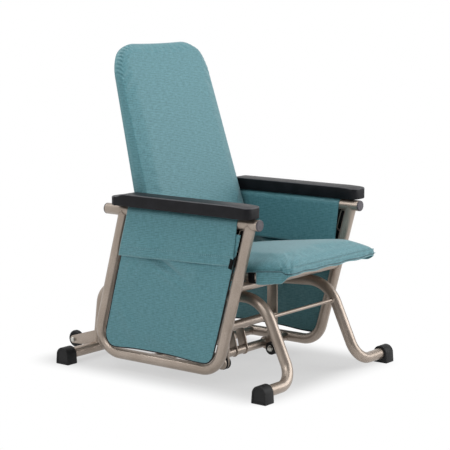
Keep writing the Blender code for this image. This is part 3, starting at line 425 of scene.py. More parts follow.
# Moulded foot: a round top over the tube, a flat flared sole and a rimmed outer end
for end, y in (("front", base["frontFootY"]), ("rear", base["rearFootY"])):
    edge = base["soleEdge"]
    sole = base["soleHalf"] - edge
    outline = [(y, base["footZ"], base["footRadius"]), (y - sole, edge, edge), (y + sole, edge, edge)]
    for side, sign in sides:
        bm = bmesh.new()
        low, high = sorted(sign * x for x in base["footX"])
        wrapPlate(bm, outline, low, high, base["footBevel"])
        ends = [face for face in bm.faces if abs(face.normal.x) > 0.99 and len(face.verts) > 8]
        outer = [face for face in ends if face.calc_center_median().x * sign > (low + high) * sign / 2]
        bmesh.ops.inset_region(bm, faces=outer, thickness=0.0034, depth=0)
        bmesh.ops.inset_region(bm, faces=outer, thickness=0.0010, depth=-0.0014)
        inner = [face for face in ends if face not in outer]
        bmesh.ops.inset_region(bm, faces=inner, thickness=0.0020, depth=0.0016)
        newPiece(bm, f"rubberFoot_{end}_{side}", "rubber", "base", [f"{end}_foot_{side}"], 32)

# Transport wheels: dished black tyres on hexagon bolts
across = Vector((1, 0, 0))
tyre = [(0.0045, 0), (0.010, 0), (0.0102, 0.0036), (0.0165, 0.0046), (0.0178, 0.0030), (0.0205, 0.0022),
        (0.0232, 0.0030), (0.0250, 0.0052), (0.0260, 0.0080)]
tyre += [(radius, 2 * wheel["half"] - along) for radius, along in reversed(tyre)] + tyre[:1]
for side, sign in sides:
    hub = Vector((sign * base["railX"], wheel["y"], wheel["z"]))
    bm = bmesh.new()
    lathe(bm, tyre, hub - across * wheel["half"], across, 48)
    newPiece(bm, f"wheelTyre_{side}", "rubber", f"transport_wheel_{side}", [f"transport_wheel_{side}"], 30)
    bm = bmesh.new()
    rod(bm, hub - across * wheel["bolt"], hub + across * wheel["bolt"], wheel["axle"])
    for face in (-1, 1):
        hexHead(bm, hub + across * face * wheel["headAt"], across * face, *wheel["head"])
    newPiece(bm, f"wheelBolt_{side}", "bolt", "base", [f"wheel_axle_bolt_{side}"])
print("base made")

# Swinging links: flat bars on pivot bolts, with flanged bushes below and a tube between each pair
link = {"x": (0.113, 0.119), "radius": 0.018, "tube": 0.0127, "tubeZ": 0.1388612, "tubeStep": 0.008,
        "gap": 0.0003, "bushX": 0.1067}
pivotBolt = {"radius": 0.005, "head": (0.0145, 0.0046), "upperX": (0.1125, 0.1352), "upperHead": 0.1127,
             "lowerX": (0.1062, 0.1322), "lowerHead": 0.1064, "lowerNut": 0.1319}
bushLine = [(0.0053, 0), (0.0120, 0), (0.0132, 0.0006), (0.0180, 0.0006), (0.0195, 0.0020), (0.0195, 0.0050),
            (0.0186, 0.0060), (0.0075, 0.0060), (0.0075, 0.0126), (0.0186, 0.0126), (0.0195, 0.0136),
            (0.0195, 0.0166), (0.0180, 0.0180), (0.0132, 0.0180), (0.0120, 0.0186), (0.0053, 0.0186),
            (0.0053, 0)]

for end, y in pivotY.items():
    body = f"{end}_swing"
    tubeY = y + link["tubeStep"] * (1 if end == "rear" else -1)
    reach = link["x"][0] - link["gap"]
    bm = bmesh.new()
    rod(bm, (-reach, tubeY, link["tubeZ"]), (reach, tubeY, link["tubeZ"]), link["tube"])
    for _, sign in sides:
        beadRing(bm, (sign * (reach - 0.0008), tubeY, link["tubeZ"]), (1, 0, 0), link["tube"])
    newPiece(bm, f"swingTube_{end}", "steel", body, [f"{end}_swing_tube"])
    for side, sign in sides:
        low, high = sorted(sign * x for x in link["x"])
        bm = bmesh.new()
        wrapPlate(bm, [(y, upperZ, link["radius"]), (y, lowerZ, link["radius"])], low, high, 0.0010)
        newPiece(bm, f"linkBar_{end}_{side}", "steel", body, [f"{end}_link_{side}"])
        bm = bmesh.new()
        lathe(bm, bushLine, Vector((sign * link["bushX"], y, lowerZ)), (sign, 0, 0), 40)
        newPiece(bm, f"linkBush_{end}_{side}", "rubber", body, [f"{end}_link_bush_{side}"], 30)
        bm = bmesh.new()
        inner, outer = (Vector((sign * x, y, upperZ)) for x in pivotBolt["upperX"])
        rod(bm, inner, outer, pivotBolt["radius"])
        hexHead(bm, (sign * pivotBolt["upperHead"], y, upperZ), (-sign, 0, 0), *pivotBolt["head"])
        newPiece(bm, f"upperBolt_{end}_{side}", "bolt", "base", [f"upper_pivot_bolt_{end}_{side}"])
        bm = bmesh.new()
        inner, outer = (Vector((sign * x, y, lowerZ)) for x in pivotBolt["lowerX"])
        rod(bm, inner, outer, pivotBolt["radius"])
        hexHead(bm, (sign * pivotBolt["lowerHead"], y, lowerZ), (-sign, 0, 0), *pivotBolt["head"])
        hexHead(bm, (sign * pivotBolt["lowerNut"], y, lowerZ), (sign, 0, 0), *pivotBolt["head"])
        newPiece(bm, f"lowerBolt_{end}_{side}", "bolt", "glide_frame", [f"lower_pivot_bolt_{end}_{side}"])
print("links made")

# Gliding frame: side frames, arm tubes, lower tubes, seat and back tubes
postLean = radians(15.3)
glide = {"tube": 0.015875, "cross": 0.0127, "x": 0.244, "armZ": 0.4678612, "lowZ": 0.0448612,
         "postTop": (-0.324, 0.130), "lean": tan(postLean), "bend": 0.070, "armY": (-0.352, 0.194),
         "lowTubeY": (-0.096, 0.036), "tabX": (0.1256, 0.1316), "tab": 0.018, "bracketX": (0.022, 0.026),
         "bracket": 0.016, "bracketStep": (0.012, 0.047), "crossEnd": 0.010}
downPost = Vector((0, sin(postLean), -cos(postLean)))
behindPost = Vector((0, cos(postLean), sin(postLean)))
plugLine = [(0, 0.0002), (0.0157, 0.0002), (0.0157, 0.0022), (0.0150, 0.0036), (0.0138, 0.0044),
            (0.0128, 0.0046), (0.0122, 0.0044), (0.0060, 0.0052), (0, 0.0055)]
strapLoop = {"wire": 0.0025, "reach": 0.030, "drop": 0.022, "length": 0.064, "bend": 0.010}


def postY(top, z):
    return top + glide["lean"] * (glide["armZ"] - z)


def strapLoopCorners(sign):
    topZ = glide["armZ"] - strapLoop["drop"]
    top = Vector((sign * glide["x"], postY(glide["postTop"][0], topZ), topZ))
    low = top + downPost * strapLoop["length"]
    reach = behindPost * strapLoop["reach"]
    return [top, top + reach, low + reach, low]


for side, sign in sides:
    x, armZ = sign * glide["x"], glide["armZ"]
    frontTop, rearTop = glide["postTop"]
    bm = bmesh.new()
    corners = [(x, frontTop, armZ - 0.001), (x, postY(frontTop, glide["lowZ"]), glide["lowZ"]),
               (x, postY(rearTop, glide["lowZ"]), glide["lowZ"]), (x, rearTop, armZ - 0.001)]
    sweepTube(bm, corners, [glide["bend"]] * 2, glide["tube"])
    for top in glide["postTop"]:
        start, heading = (x, postY(top, weldFromZ), weldFromZ), (0, -glide["lean"], 1)
        weldBead(bm, start, heading, glide["tube"], (x, 0, armZ), (0, 1, 0), glide["tube"], 0.0016)
    sweepTube(bm, strapLoopCorners(sign), [strapLoop["bend"]] * 2, strapLoop["wire"], ringSides=14)
    newPiece(bm, f"sideTube_{side}", "steel", "glide_frame", [f"side_frame_{side}"])
    bm = bmesh.new()
    rod(bm, (x, glide["armY"][0], armZ), (x, glide["armY"][1], armZ), glide["tube"], 0.0007, 36)
    newPiece(bm, f"armTube_{side}", "steel", "glide_frame", [f"arm_tube_{side}"])
    for end, y, heading in (("front", glide["armY"][0], -1), ("rear", glide["armY"][1], 1)):
        bm = bmesh.new()
        lathe(bm, plugLine, Vector((x, y, armZ)), (0, heading, 0))
        newPiece(bm, f"armPlug_{end}_{side}", "plug", "glide_frame", [f"arm_end_plug_{end}_{side}"], 35)
        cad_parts[f"armrest_screw_{end}_{side}"].data.materials[0] = zinc

for end, tubeY in zip(pivotY, glide["lowTubeY"]):
    bm = bmesh.new()
    reach, z = glide["x"] - glide["crossEnd"], glide["lowZ"]
    rod(bm, (-reach, tubeY, z), (reach, tubeY, z), glide["cross"])
    for _, sign in sides:
        spot = (sign * glide["x"], 0, z)
        weldBead(bm, (0, tubeY, z), (sign, 0, 0), glide["cross"], spot, (0, 1, 0), glide["tube"])
        low, high = sorted(sign * x for x in glide["tabX"])
        wrapPlate(bm, [(pivotY[end], lowerZ, glide["tab"]), (tubeY, z, glide["tab"])], low, high, 0.0010)
        for x in (low, high):
            beadRing(bm, (x, tubeY, z), (1, 0, 0), glide["cross"])
        if end == "front":
            low, high = sorted(sign * x for x in glide["bracketX"])
            stepY, stepZ = glide["bracketStep"]
            bracket = [(tubeY, z, glide["bracket"]), (tubeY + stepY, z + stepZ, glide["bracket"])]
            wrapPlate(bm, bracket, low, high)
    newPiece(bm, f"lowerTube_{end}", "steel", "glide_frame", [f"{end}_lower_tube"])

# Seat and back tubes lie where the solids are
seatTube = {"radius": 0.011, "x": 0.1951, "frontBend": 0.025, "rearBend": 0.045, "tilt": radians(7.1)}
backTube = {"x": 0.1351, "bend": 0.060, "topZ": 0.878, "slope": 0.2388, "startY": 0.09328, "startZ": 0.312}
crossTubes = {"seat_front_tube": "seatCrossTube", "back_cross_tube": "backCrossTube"}
loopLow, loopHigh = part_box("seat_frame")
seatFront, seatRear = loopLow.y + seatTube["radius"], loopHigh.y - seatTube["radius"]


def seatLoopZ(y):
    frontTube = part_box("seat_front_tube")
    middle = (frontTube[0] + frontTube[1]) / 2
    rise = (glide["cross"] + seatTube["radius"] + 0.0003) / cos(seatTube["tilt"])
    return middle.z + rise - tan(seatTube["tilt"]) * (y - middle.y)


def backTubeY(z):
    return backTube["startY"] + backTube["slope"] * (z - backTube["startZ"])


for node, name in crossTubes.items():
    low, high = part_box(node)
    middle, reach = (low + high) / 2, glide["x"] - glide["crossEnd"]
    bm = bmesh.new()
    rod(bm, (-reach, middle.y, middle.z), (reach, middle.y, middle.z), glide["cross"])
    for _, sign in sides:
        lean = (0, -glide["lean"], 1) if node == "seat_front_tube" else (0, 1, 0)
        spot = (sign * glide["x"], middle.y, middle.z)
        weldBead(bm, (0, middle.y, middle.z), (sign, 0, 0), glide["cross"], spot, lean, glide["tube"])
    newPiece(bm, name, "steel", "glide_frame", [node])

bm = bmesh.new()
loop = [(0, seatRear), (-seatTube["x"], seatRear), (-seatTube["x"], seatFront), (seatTube["x"], seatFront),
        (seatTube["x"], seatRear), (0, seatRear)]
sweepTube(bm, [(x, y, seatLoopZ(y)) for x, y in loop],
          [seatTube["rearBend"], seatTube["frontBend"], seatTube["frontBend"], seatTube["rearBend"]],
          seatTube["radius"], cap=False, ringSides=24)
newPiece(bm, "seatLoopTube", "steel", "glide_frame", ["seat_frame"])

bm = bmesh.new()
legZ = seatLoopZ(seatRear) + 0.004
arch = [(-backTube["x"], legZ), (-backTube["x"], backTube["topZ"]),
        (backTube["x"], backTube["topZ"]), (backTube["x"], legZ)]
sweepTube(bm, [(x, backTubeY(z), z) for x, z in arch], [backTube["bend"]] * 2, seatTube["radius"],
          ringSides=24)
for _, sign in sides:
    heading = (0, -backTube["slope"], -1)
    start = (sign * backTube["x"], backTubeY(weldFromZ), weldFromZ)
    weldBead(bm, start, heading, seatTube["radius"], (0, seatRear, seatLoopZ(seatRear)), (1, 0, 0),
             seatTube["radius"], 0.0016)
newPiece(bm, "backTube", "steel", "glide_frame", ["back_frame"])
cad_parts["seat_pan"].data.materials[0] = powderCoat
print("gliding frame made")

# Armrests: moulded pads with chamfered long edges, rounded corners and a top that falls away at the rear
armrest = {"x": 0.257, "half": 0.033, "y": (-0.348, 0.151), "z": (0.4859, 0.5209), "corner": 0.021,
           "chamfer": 0.0105, "under": 0.003, "rearDrop": 0.009, "rearRun": 0.054, "slope": 0.034,
           "frontDrop": 0.003, "frontRun": 0.060, "waist": 0.0026, "flare": (0.03, 0.10),
           "cuts": (0.030, 0.060, 0.095, 0.130)}

for side, sign in sides:
    front, rear = armrest["y"]
    low, high = armrest["z"]
    bm = bmesh.new()
    size = Vector((2 * armrest["half"], rear - front, high - low))
    place = Matrix.Translation((sign * armrest["x"], (front + rear) / 2, (low + high) / 2))
    bmesh.ops.create_cube(bm, size=1, matrix=place @ Matrix.Diagonal(size.to_4d()))
    rearCuts = [rear - armrest["rearRun"] + armrest["slope"] * step / 5 for step in range(6)]
    for y in [front + cut for cut in armrest["cuts"]] + rearCuts:
        whole = bm.verts[:] + bm.edges[:] + bm.faces[:]
        bmesh.ops.bisect_plane(bm, geom=whole, plane_co=(0, y, 0), plane_no=(0, 1, 0))
    for vert in bm.verts:
        fromFront, fromRear = vert.co.y - front, rear - vert.co.y
        start, run = armrest["flare"]
        inward = armrest["waist"] * smooth((fromFront - start) / run)
        vert.co.x -= inward if vert.co.x > sign * armrest["x"] else -inward
        if vert.co.z > low + 0.01:
            vert.co.z -= armrest["rearDrop"] * smooth((armrest["rearRun"] - fromRear) / armrest["slope"])
            vert.co.z -= armrest["frontDrop"] * max(1 - fromFront / armrest["frontRun"], 0) ** 1.5
    upright = [edge for edge in bm.edges if abs(edge.verts[0].co.y - edge.verts[1].co.y) < 0.001
               and abs(edge.verts[0].co.z - edge.verts[1].co.z) > 0.01
               and min(abs(edge.verts[0].co.y - front), abs(edge.verts[0].co.y - rear)) < 0.001]
    bevelEdges(bm, upright, armrest["corner"], 6)
    # the top chamfers take a second, lighter material: a painted highlight along the top edges
    for facingUp, width, steps in ((1, armrest["chamfer"], 3), (-1, armrest["under"], 2)):
        bm.normal_update()
        rim = [edge for edge in bm.edges if len(edge.link_faces) == 2
               and max(facingUp * face.normal.z for face in edge.link_faces) > 0.8
               and min(facingUp * face.normal.z for face in edge.link_faces) < 0.3]
        bevelEdges(bm, rim, width, steps, 1 if facingUp > 0 else -1, True)
    pad = newPiece(bm, f"armPad_{side}", "pad", "glide_frame", [f"armrest_{side}"], 24)
    pad.data.materials.append(armChamferHighlight)
print("armrests made")


# A sheet from a grid: place(u, v) gives the point and the cloth's own measure there, u and v from 0 to 1
def clothGrid(bm, columns, rows, place):
    layer = bm.loops.layers.uv.get("cloth") or bm.loops.layers.uv.new("cloth")
    made = bmesh.ops.create_grid(bm, x_segments=columns, y_segments=rows, size=1)
    measure = {}
    for vert in made["verts"]:
        point, measure[vert] = place((vert.co.x + 1) / 2, (vert.co.y + 1) / 2)
        vert.co = point
    for face in {face for vert in made["verts"] for face in vert.link_faces}:
        for loop in face.loops:
            loop[layer].uv = measure[loop.vert]


def thicken(piece, thickness):
    wall = piece.modifiers.new("wall", "SOLIDIFY")
    wall.thickness, wall.offset = thickness, 0


# A thin round edge along a line of points
def piping(bm, line, radius, bend):
    sweepTube(bm, line, [bend] * (len(line) - 2), radius, ringSides=8)


# Rows of thread: short raised stitches along a line of points
def stitchRow(bm, points, out, pitch=0.0065, length=0.0042, radius=0.00055):
    points = [Vector(point) for point in points]
    spans = [(b - a).length for a, b in zip(points, points[1:])]
    walked, index, reach = pitch / 2, 0, 0
    while True:
        while index < len(spans) and reach + spans[index] < walked:
            reach += spans[index]
            index += 1
        if index == len(spans):
            return
        heading = (points[index + 1] - points[index]).normalized()
        spot = points[index] + heading * (walked - reach) + Vector(out)
        rod(bm, spot - heading * length / 2, spot + heading * length / 2, radius, ringSides=6)
        walked += pitch


# Side flaps: sleeves of cover over the arm tubes.
# The outer leg hangs over the panel and ends in a stitched hem.
flap = {"arc": 0.01698, "drop": 0.123, "y": (-0.290, 0.105), "slope": (0.112, 0.258), "thick": 0.0016,
        "ripple": 0.0042, "hem": 0.023, "tilt": 0.053}
flapWidth = 2 * flap["drop"] + pi * flap["arc"]


def flapPoint(sign, walked, along):
    arc, leg = flap["arc"], flap["drop"]
    over = (walked - leg) / arc
    if over < 0:
        x, z = -arc, walked - leg
    elif over < pi:
        x, z = -arc * cos(over), arc * sin(over)
    else:
        x, z = arc, -(walked - leg - pi * arc) * (0.99 + flap["tilt"] * (2 * along - 1))
    drop = max(0, -z)
    start, end = (edge + slope * drop for edge, slope in zip(flap["y"], flap["slope"]))
    y = start + (end - start) * along
    if x > 0:
        low = smooth(drop / flap["drop"])
        x += flap["ripple"] * low * (1 + sin(y * 31) * 0.5 + 0.6 * noise.noise((y * 14, z * 9, sign)))
    return Vector((sign * (glide["x"] + x), y, glide["armZ"] + z)), (y, walked)


# points along the outer leg, a little above its lower edge
def flapLine(sign, above):
    return [flapPoint(sign, flapWidth - above, step / 60)[0] for step in range(61)]


# Side panels: taut sheets inside the side frames, with soft slanting creases below the flaps
panel = {"x": 0.2589, "z": (0.0657, 0.4399), "gap": (0.0150, 0.03446), "corner": (0.028, 0.050),
         "thick": 0.0020, "lift": 0.0065, "slack": (0.012, 0.120), "flat": (0.351, 0.012)}
# each crease: y, z, angle, height, half width and half length
creases = ((-0.027, 0.325, 25, -0.0140, 0.0140, 0.062), (-0.046, 0.298, 25, 0.0040, 0.013, 0.060),
           (-0.140, 0.338, 4, 0.0040, 0.034, 0.060), (-0.150, 0.318, -58, 0.0022, 0.013, 0.050),
           (0.055, 0.300, -44, 0.0022, 0.017, 0.055), (0.098, 0.310, -60, 0.0024, 0.012, 0.040),
           (-0.120, 0.170, 38, 0.0022, 0.024, 0.085), (0.110, 0.150, 55, 0.0020, 0.022, 0.075),
           (0.000, 0.110, 12, 0.0018, 0.020, 0.110))


def panelRelief(y, z, sign):
    relief = 0
    for spotY, spotZ, angle, height, width, length in creases:
        away, rise = y - spotY, z - spotZ
        along = away * cos(radians(angle)) + rise * sin(radians(angle))
        across = -away * sin(radians(angle)) + rise * cos(radians(angle))
        relief += height * exp(-(across / width) ** 2 - (along / length) ** 2)
    relief += 0.0012 * noise.noise((y * 9, z * 9, 3 + sign))
    flatFrom, run = panel["flat"]
    return relief * smooth((flatFrom - z) / run)


def panelPoint(sign, u, v):
    low, high = panel["z"]
    z = low + (high - low) * v
    front, rear = (postY(top, z) for top in glide["postTop"])
    front, rear = front + panel["gap"][0], rear - panel["gap"][1]
    across, corner = rear - front, panel["corner"][u > 0.5]
    fromEnd, fromLow = min(u, 1 - u) * across, z - low
    away = 0
    if fromEnd < corner and fromLow < corner:
        p, q = 1 - fromEnd / corner, 1 - fromLow / corner
        away = corner * (p - p * sqrt(1 - q * q / 2))
        z += corner * (q - q * sqrt(1 - p * p / 2))
    shift = postY(glide["postTop"][0], z) - postY(glide["postTop"][0], low + (high - low) * v)
    y = front + across * u + shift + (away if u < 0.5 else -away)
    middle, half = panel["slack"]
    z += panel["lift"] * (1 - v) ** 6 * exp(-((y - middle) / half) ** 4)
    return Vector((sign * (panel["x"] + panelRelief(y, z, sign)), y, z)), (y, z)


for side, sign in sides:
    bm = bmesh.new()
    clothGrid(bm, 72, 80, lambda u, v: flapPoint(sign, u * flapWidth, v))
    sleeve = newPiece(bm, f"armSleeve_{side}", "cover", "glide_frame", [f"side_flap_{side}"], 180)
    thicken(sleeve, flap["thick"])
    bm = bmesh.new()
    clothGrid(bm, 84, 78, lambda u, v: panelPoint(sign, u, v))
    sheet = newPiece(bm, f"sidePanel_{side}", "cover", "glide_frame", [f"side_panel_{side}"], 180)
    thicken(sheet, panel["thick"])
    # the hem piping is paler teal: a painted highlight along the flap's lower edge
    bm = bmesh.new()
    piping(bm, flapLine(sign, 0), 0.0011, 0.01)
    newPiece(bm, f"sleeveHem_{side}", "coverThreadAndEdgeHighlight", "glide_frame", [], 60)
    bm = bmesh.new()
    for fold in (flap["hem"], flap["hem"] + 0.004):
        stitchRow(bm, flapLine(sign, fold), (sign * 0.0010, 0, 0))
    seam = newPiece(bm, f"sleeveStitch_{side}", "coverThreadAndEdgeHighlight", "glide_frame", [], 60)
print("side cloth made")


# A closed pad: a cut-up cube, finer towards its edges, that a shape function turns into the cushion
def padBox(cuts, halves, shape):
    bm = bmesh.new()
    bmesh.ops.create_cube(bm, size=2)
    for axis, count in enumerate(cuts):
        edges = [edge for edge in bm.edges if abs((edge.verts[0].co - edge.verts[1].co)[axis]) > 1.9]
        bmesh.ops.subdivide_edges(bm, edges=edges, cuts=count, use_grid_fill=True)
    for vert in bm.verts:
        vert.co = [part * (1.35 - 0.35 * part * part) for part in vert.co]
    layer = bm.loops.layers.uv.new("cloth")
    bm.normal_update()
    for face in bm.faces:
        main = max(range(3), key=lambda axis: abs(face.normal[axis]))
        across, up = (axis for axis in range(3) if axis != main)
        for loop in face.loops:
            loop[layer].uv = (loop.vert.co[across] * halves[across], loop.vert.co[up] * halves[up])
    spots = [vert.co.copy() for vert in bm.verts]
    for vert in bm.verts:
        vert.co = shape(vert.co)
    return bm, spots


def roundedPoint(spot, halves, radius):
    point = Vector((part * half for part, half in zip(spot, halves)))
    core = Vector((min(max(part, radius - half), half - radius) for part, half in zip(point, halves)))
    return core + (point - core).normalized() * radius


# Fills a cover with air in a cloth simulation, and keeps how far each point moved, up to a cap
def stuff(pad, spots, hold, soft):
    held = pad.vertex_groups.new(name="held")
    for index, spot in enumerate(spots):
        held.add([index], hold(spot), "REPLACE")
    cloth = pad.modifiers.new("stuffing", "CLOTH")
    cloth.settings.vertex_group_mass = "held"
    cloth.settings.quality = 6
    cloth.settings.use_pressure = True
    cloth.settings.uniform_pressure_force = soft["pressure"]
    cloth.settings.shrink_min = -soft["spare"]
    cloth.settings.bending_stiffness = soft["stiff"]
    cloth.settings.effector_weights.gravity = 0
    for step in range(1, 21):
        scene.frame_set(step)
    puffed = pad.evaluated_get(bpy.context.evaluated_depsgraph_get()).data
    moved = [after.co - before.co for before, after in zip(pad.data.vertices, puffed.vertices)]
    pad.modifiers.remove(cloth)
    scene.frame_set(1)
    for vert, move in zip(pad.data.vertices, moved):
        vert.co += move * min(1, soft["cap"] / max(move.length, 0.0001))
    pad.vertex_groups.clear()
    print(pad.name, "stuffed, most moved", round(max(move.length for move in moved), 4))


def subdivide(pad):
    finer = pad.modifiers.new("finer", "SUBSURF")
    finer.levels = finer.render_levels = 1


# Seat cushion: crowned, drawn in along its sides, with a thin waterfall nose
seat = {"y": (-0.432, 0.0012), "half": 0.2151, "low": 0.0137, "thick": 0.036, "draw": 0.012, "crown": 0.017,
        "edge": 0.016, "nose": (0.090, 0.33), "roll": (0.062, 0.45), "inset": 0.001,
        "corner": (0.78, 0.055, 0.0045), "gather": 0.026, "cuts": (84, 84, 10), "pressure": 4, "spare": 0.012,
        "stiff": 0.5, "cap": 0.0035}
seatZero = seatLoopZ(0)
seatMiddle = sum(seat["y"]) / 2
seatHalves = Vector((seat["half"] - seat["inset"], (seat["y"][1] - seat["y"][0]) / 2, seat["thick"] / 2))


def cushionLow(y):
    return seatZero - tan(seatTube["tilt"]) * y + seat["low"]


def seatShape(spot):
    point = Vector((part * half for part, half in zip(spot, seatHalves)))
    if spot.z > -0.99:
        point.xy = roundedPoint((spot.x, spot.y, max(spot.z, 0)), seatHalves, seat["edge"]).xy
    if spot.z > 0:
        point.z = roundedPoint(spot, seatHalves, seat["edge"]).z
    along = point.y / seatHalves.y
    fromFront, fromSide = point.y + seatHalves.y, seatHalves.x - abs(point.x)
    rise = point.z + seatHalves.z
    for away, (run, drop) in ((fromFront, seat["nose"]), (fromSide, seat["roll"])):
        rise *= 1 - drop * max(1 - away / run, 0) ** 2
    start, run, droop = seat["corner"]
    rise -= droop * smooth((abs(point.x) / seatHalves.x - start) / (1 - start)) * smooth(1 - fromFront / run)
    if point.z > 0:
        crown = seat["crown"] * (1 - (point.x / seatHalves.x) ** 2) * (1 - along ** 4)
        rise += crown * point.z / seatHalves.z
    point.x *= 1 - seat["draw"] * (1 - along ** 2) / seatHalves.x
    y = seatMiddle + point.y
    return Vector((point.x, y, cushionLow(y) + rise))


bm, spots = padBox(seat["cuts"], seatHalves, seatShape)
seatPad = newPiece(bm, "seatCushion", "cover", "glide_frame", ["seat_cushion"], 180)
stuff(seatPad, spots, lambda spot: 1 if spot.z < -0.99 or spot.y > 0.99 else 0, seat)

# Gathers at the two front corners: grooves across the seam with a swelling between them.
# Each has its way round the corner, its depth and its half width.
gathers = ((-0.029, 0.0075, 0.006), (-0.014, -0.0040, 0.008), (0.012, 0.0105, 0.007), (0.034, 0.0035, 0.009))
for vert, spot in zip(seatPad.data.vertices, spots):
    if spot.z > -0.99 and (abs(spot.x) > 0.7 or spot.y < -0.7):
        fromSide, fromFront = seatHalves.x * (1 - abs(spot.x)), seatHalves.y * (1 + spot.y)
        inward = min(fromSide, fromFront)
        low = 1 - (spot.z + 1) / 2
        hold = exp(-(inward / seat["gather"]) ** 2) * smooth(0.45 + 0.7 * low)
        out = Vector((0.6 * (1 if spot.x > 0 else -1), -0.6, 0.5))
        for way, deep, wide in gathers:
            vert.co -= out * deep * hold * exp(-((fromSide - fromFront - way) / wide) ** 2)
subdivide(seatPad)

# Back cushion: a boxed cover, thick at the seat and thin at the top.
# Its front is crowned and its upper corners are round.
back = {"z": (0.312, 0.940), "front": 0.0023, "recline": 0.32, "half": (0.225, 0.2005),
        "depth": (0.077, 0.026), "crown": 0.014, "corner": 0.097, "dip": 0.006, "edge": 0.019,
        "cuts": (66, 8, 96), "pressure": 4, "spare": 0.012, "stiff": 0.5, "cap": 0.005,
        "seams": (-0.56, 0.34), "seamDraw": 0.0022, "pucker": 0.017, "pull": 0.0060, "pullReach": 0.013}
backHalves = Vector((0.2045, 0.026, 0.314))


def backShape(spot):
    point = roundedPoint(spot, backHalves, back["edge"])
    across, deep, up = (part / half for part, half in zip(point, backHalves))
    low, high = back["z"]
    z = low + (high - low) * (up + 1) / 2
    half = back["half"][0] + (back["half"][1] - back["half"][0]) * (up + 1) / 2
    x, corner = half * across, back["corner"]
    p, q = (abs(x) - half + corner) / corner, (z - high + corner) / corner
    if p > 0 and q > 0:
        x *= 1 - corner * p * (1 - sqrt(1 - q * q / 2)) / abs(x)
        z -= corner * q * (1 - sqrt(1 - p * p / 2))
    z -= back["dip"] * max(up, 0) ** 8 * (1 - across ** 2)
    share = (z - low) / (high - low)
    depth = back["depth"][0] + (back["depth"][1] - back["depth"][0]) * share
    crown = back["crown"] * max(-deep, 0) * (1 - across ** 2) * (1 - up ** 4)
    return Vector((x, back["front"] + back["recline"] * (z - low) + depth * (deep + 1) / 2 - crown, z))


bm, spots = padBox(back["cuts"], backHalves, backShape)
backPad = newPiece(bm, "backCushion", "cover", "glide_frame", ["back_cushion"], 180)


def backHold(spot):
    if spot.y > 0.99 or spot.z < -0.99:
        return 1
    return 0.9 if abs(spot.x) > 0.99 or spot.z > 0.99 else 0


stuff(backPad, spots, backHold, back)

# the side band's two seams are drawn in, and short puckers cross its front seam near the top
cell = 2 / (back["cuts"][1] + 1)
for vert, spot in zip(backPad.data.vertices, spots):
    inside = Vector((-1 if spot.x > 0 else 1, 0, 0)) if abs(spot.x) > spot.z else Vector((0, 0, -1))
    onBand = abs(spot.x) > 0.99 or spot.z > 0.99
    if onBand and any(abs(spot.y - seam) < cell / 2 for seam in back["seams"]):
        vert.co += inside * back["seamDraw"]
    if spot.y < 0.6:
        toEdge = min(backHalves.x * (1 - abs(spot.x)), backHalves.z * (1 - spot.z)) + 0.012 * (spot.y + 1)
        around = vert.co.z - abs(vert.co.x)
        uneven = 2 * noise.noise((vert.co.z * 20, vert.co.x * 20, 0))
        wave = 0.5 + 0.5 * sin(2 * pi * around / back["pucker"] + uneven)
        pull = back["pull"] * (wave - 0.35) * exp(-(toEdge / back["pullReach"]) ** 2)
        pull *= smooth((vert.co.z - 0.74) / 0.10)
        pull *= 1 if spot.x < 0 else 0.25
        vert.co += (inside + Vector((0, 0.7, 0))) * pull * smooth((abs(spot.x) - 0.55) / 0.3)
subdivide(backPad)
print("cushions made")


# Points along corners with rounded bends, and a walk along them
def roundPath(corners, bend, steps=8):
    corners = [Vector(corner) for corner in corners]
    path = [corners[0]]
    for before, corner, after in zip(corners, corners[1:], corners[2:]):
        come, go = (corner - before).normalized(), (after - corner).normalized()
        cut = bend * tan(come.angle(go) / 2)
        for step in range(steps + 1):
            share = step / steps
            path.append((1 - share) ** 2 * (corner - come * cut) + 2 * share * (1 - share) * corner
                        + share ** 2 * (corner + go * cut))
    return path + [corners[-1]]


def walkPath(path, share):
    spans = [(b - a).length for a, b in zip(path, path[1:])]
    left = share * sum(spans)
    for start, end, span in zip(path, path[1:], spans):
        if left <= span:
            return start.lerp(end, left / span), (end - start).normalized(), sum(spans)
        left -= span
    return path[-1].copy(), (path[-1] - path[-2]).normalized(), sum(spans)


# Skirt: the band of cover below the seat seam, deep along the sides and a narrow hem round the front
skirt = {"rearY": -0.312, "inset": 0.002, "bend": 0.020, "side": (0.020, 0.032), "front": 0.0105,
         "turn": 0.030, "thick": 0.0022, "tuck": (0.010, 0.004), "seam": (0.78, 0.06), "ripple": 0.0022,
         "hem": 0.0016, "columns": 150, "piping": (0.0012, 0.0015), "pipingBend": 0.004}
skirtFront = seat["y"][0] + skirt["inset"]
skirtFrontX = seat["half"] - skirt["inset"]
skirtRearX = skirtFrontX - seat["draw"] * (1 - ((skirt["rearY"] - seatMiddle) / seatHalves.y) ** 2)
skirtPath = roundPath([(-skirtRearX, skirt["rearY"], 0), (-skirtFrontX, skirtFront, 0),
                       (skirtFrontX, skirtFront, 0), (skirtRearX, skirt["rearY"], 0)], skirt["bend"])


def skirtPoint(u, v):  # without v, the seam
    spot, heading, length = walkPath(skirtPath, u)
    out = Vector((heading.y, -heading.x, 0))
    side, onSide = skirt["side"][spot.x < 0], smooth((spot.y - skirtFront) / skirt["turn"])
    drop, tuck, seam = (near + (far - near) * onSide for near, far in
                        ((skirt["front"], side), skirt["tuck"], skirt["seam"]))
    v = seam if v is None else v
    wave = skirt["ripple"] * v * drop / side * sin(u * length * 95 + 0.8 * sin(u * length * 41))
    hem = skirt["hem"] * v * sin(u * length * 60)
    z = cushionLow(spot.y) + tuck - (drop + tuck + hem) * v
    return Vector((spot.x, spot.y, z)) + out * wave, (u * length, v * drop)


def skirtLine(v):
    return [skirtPoint(step / skirt["columns"], v)[0] for step in range(skirt["columns"] + 1)]


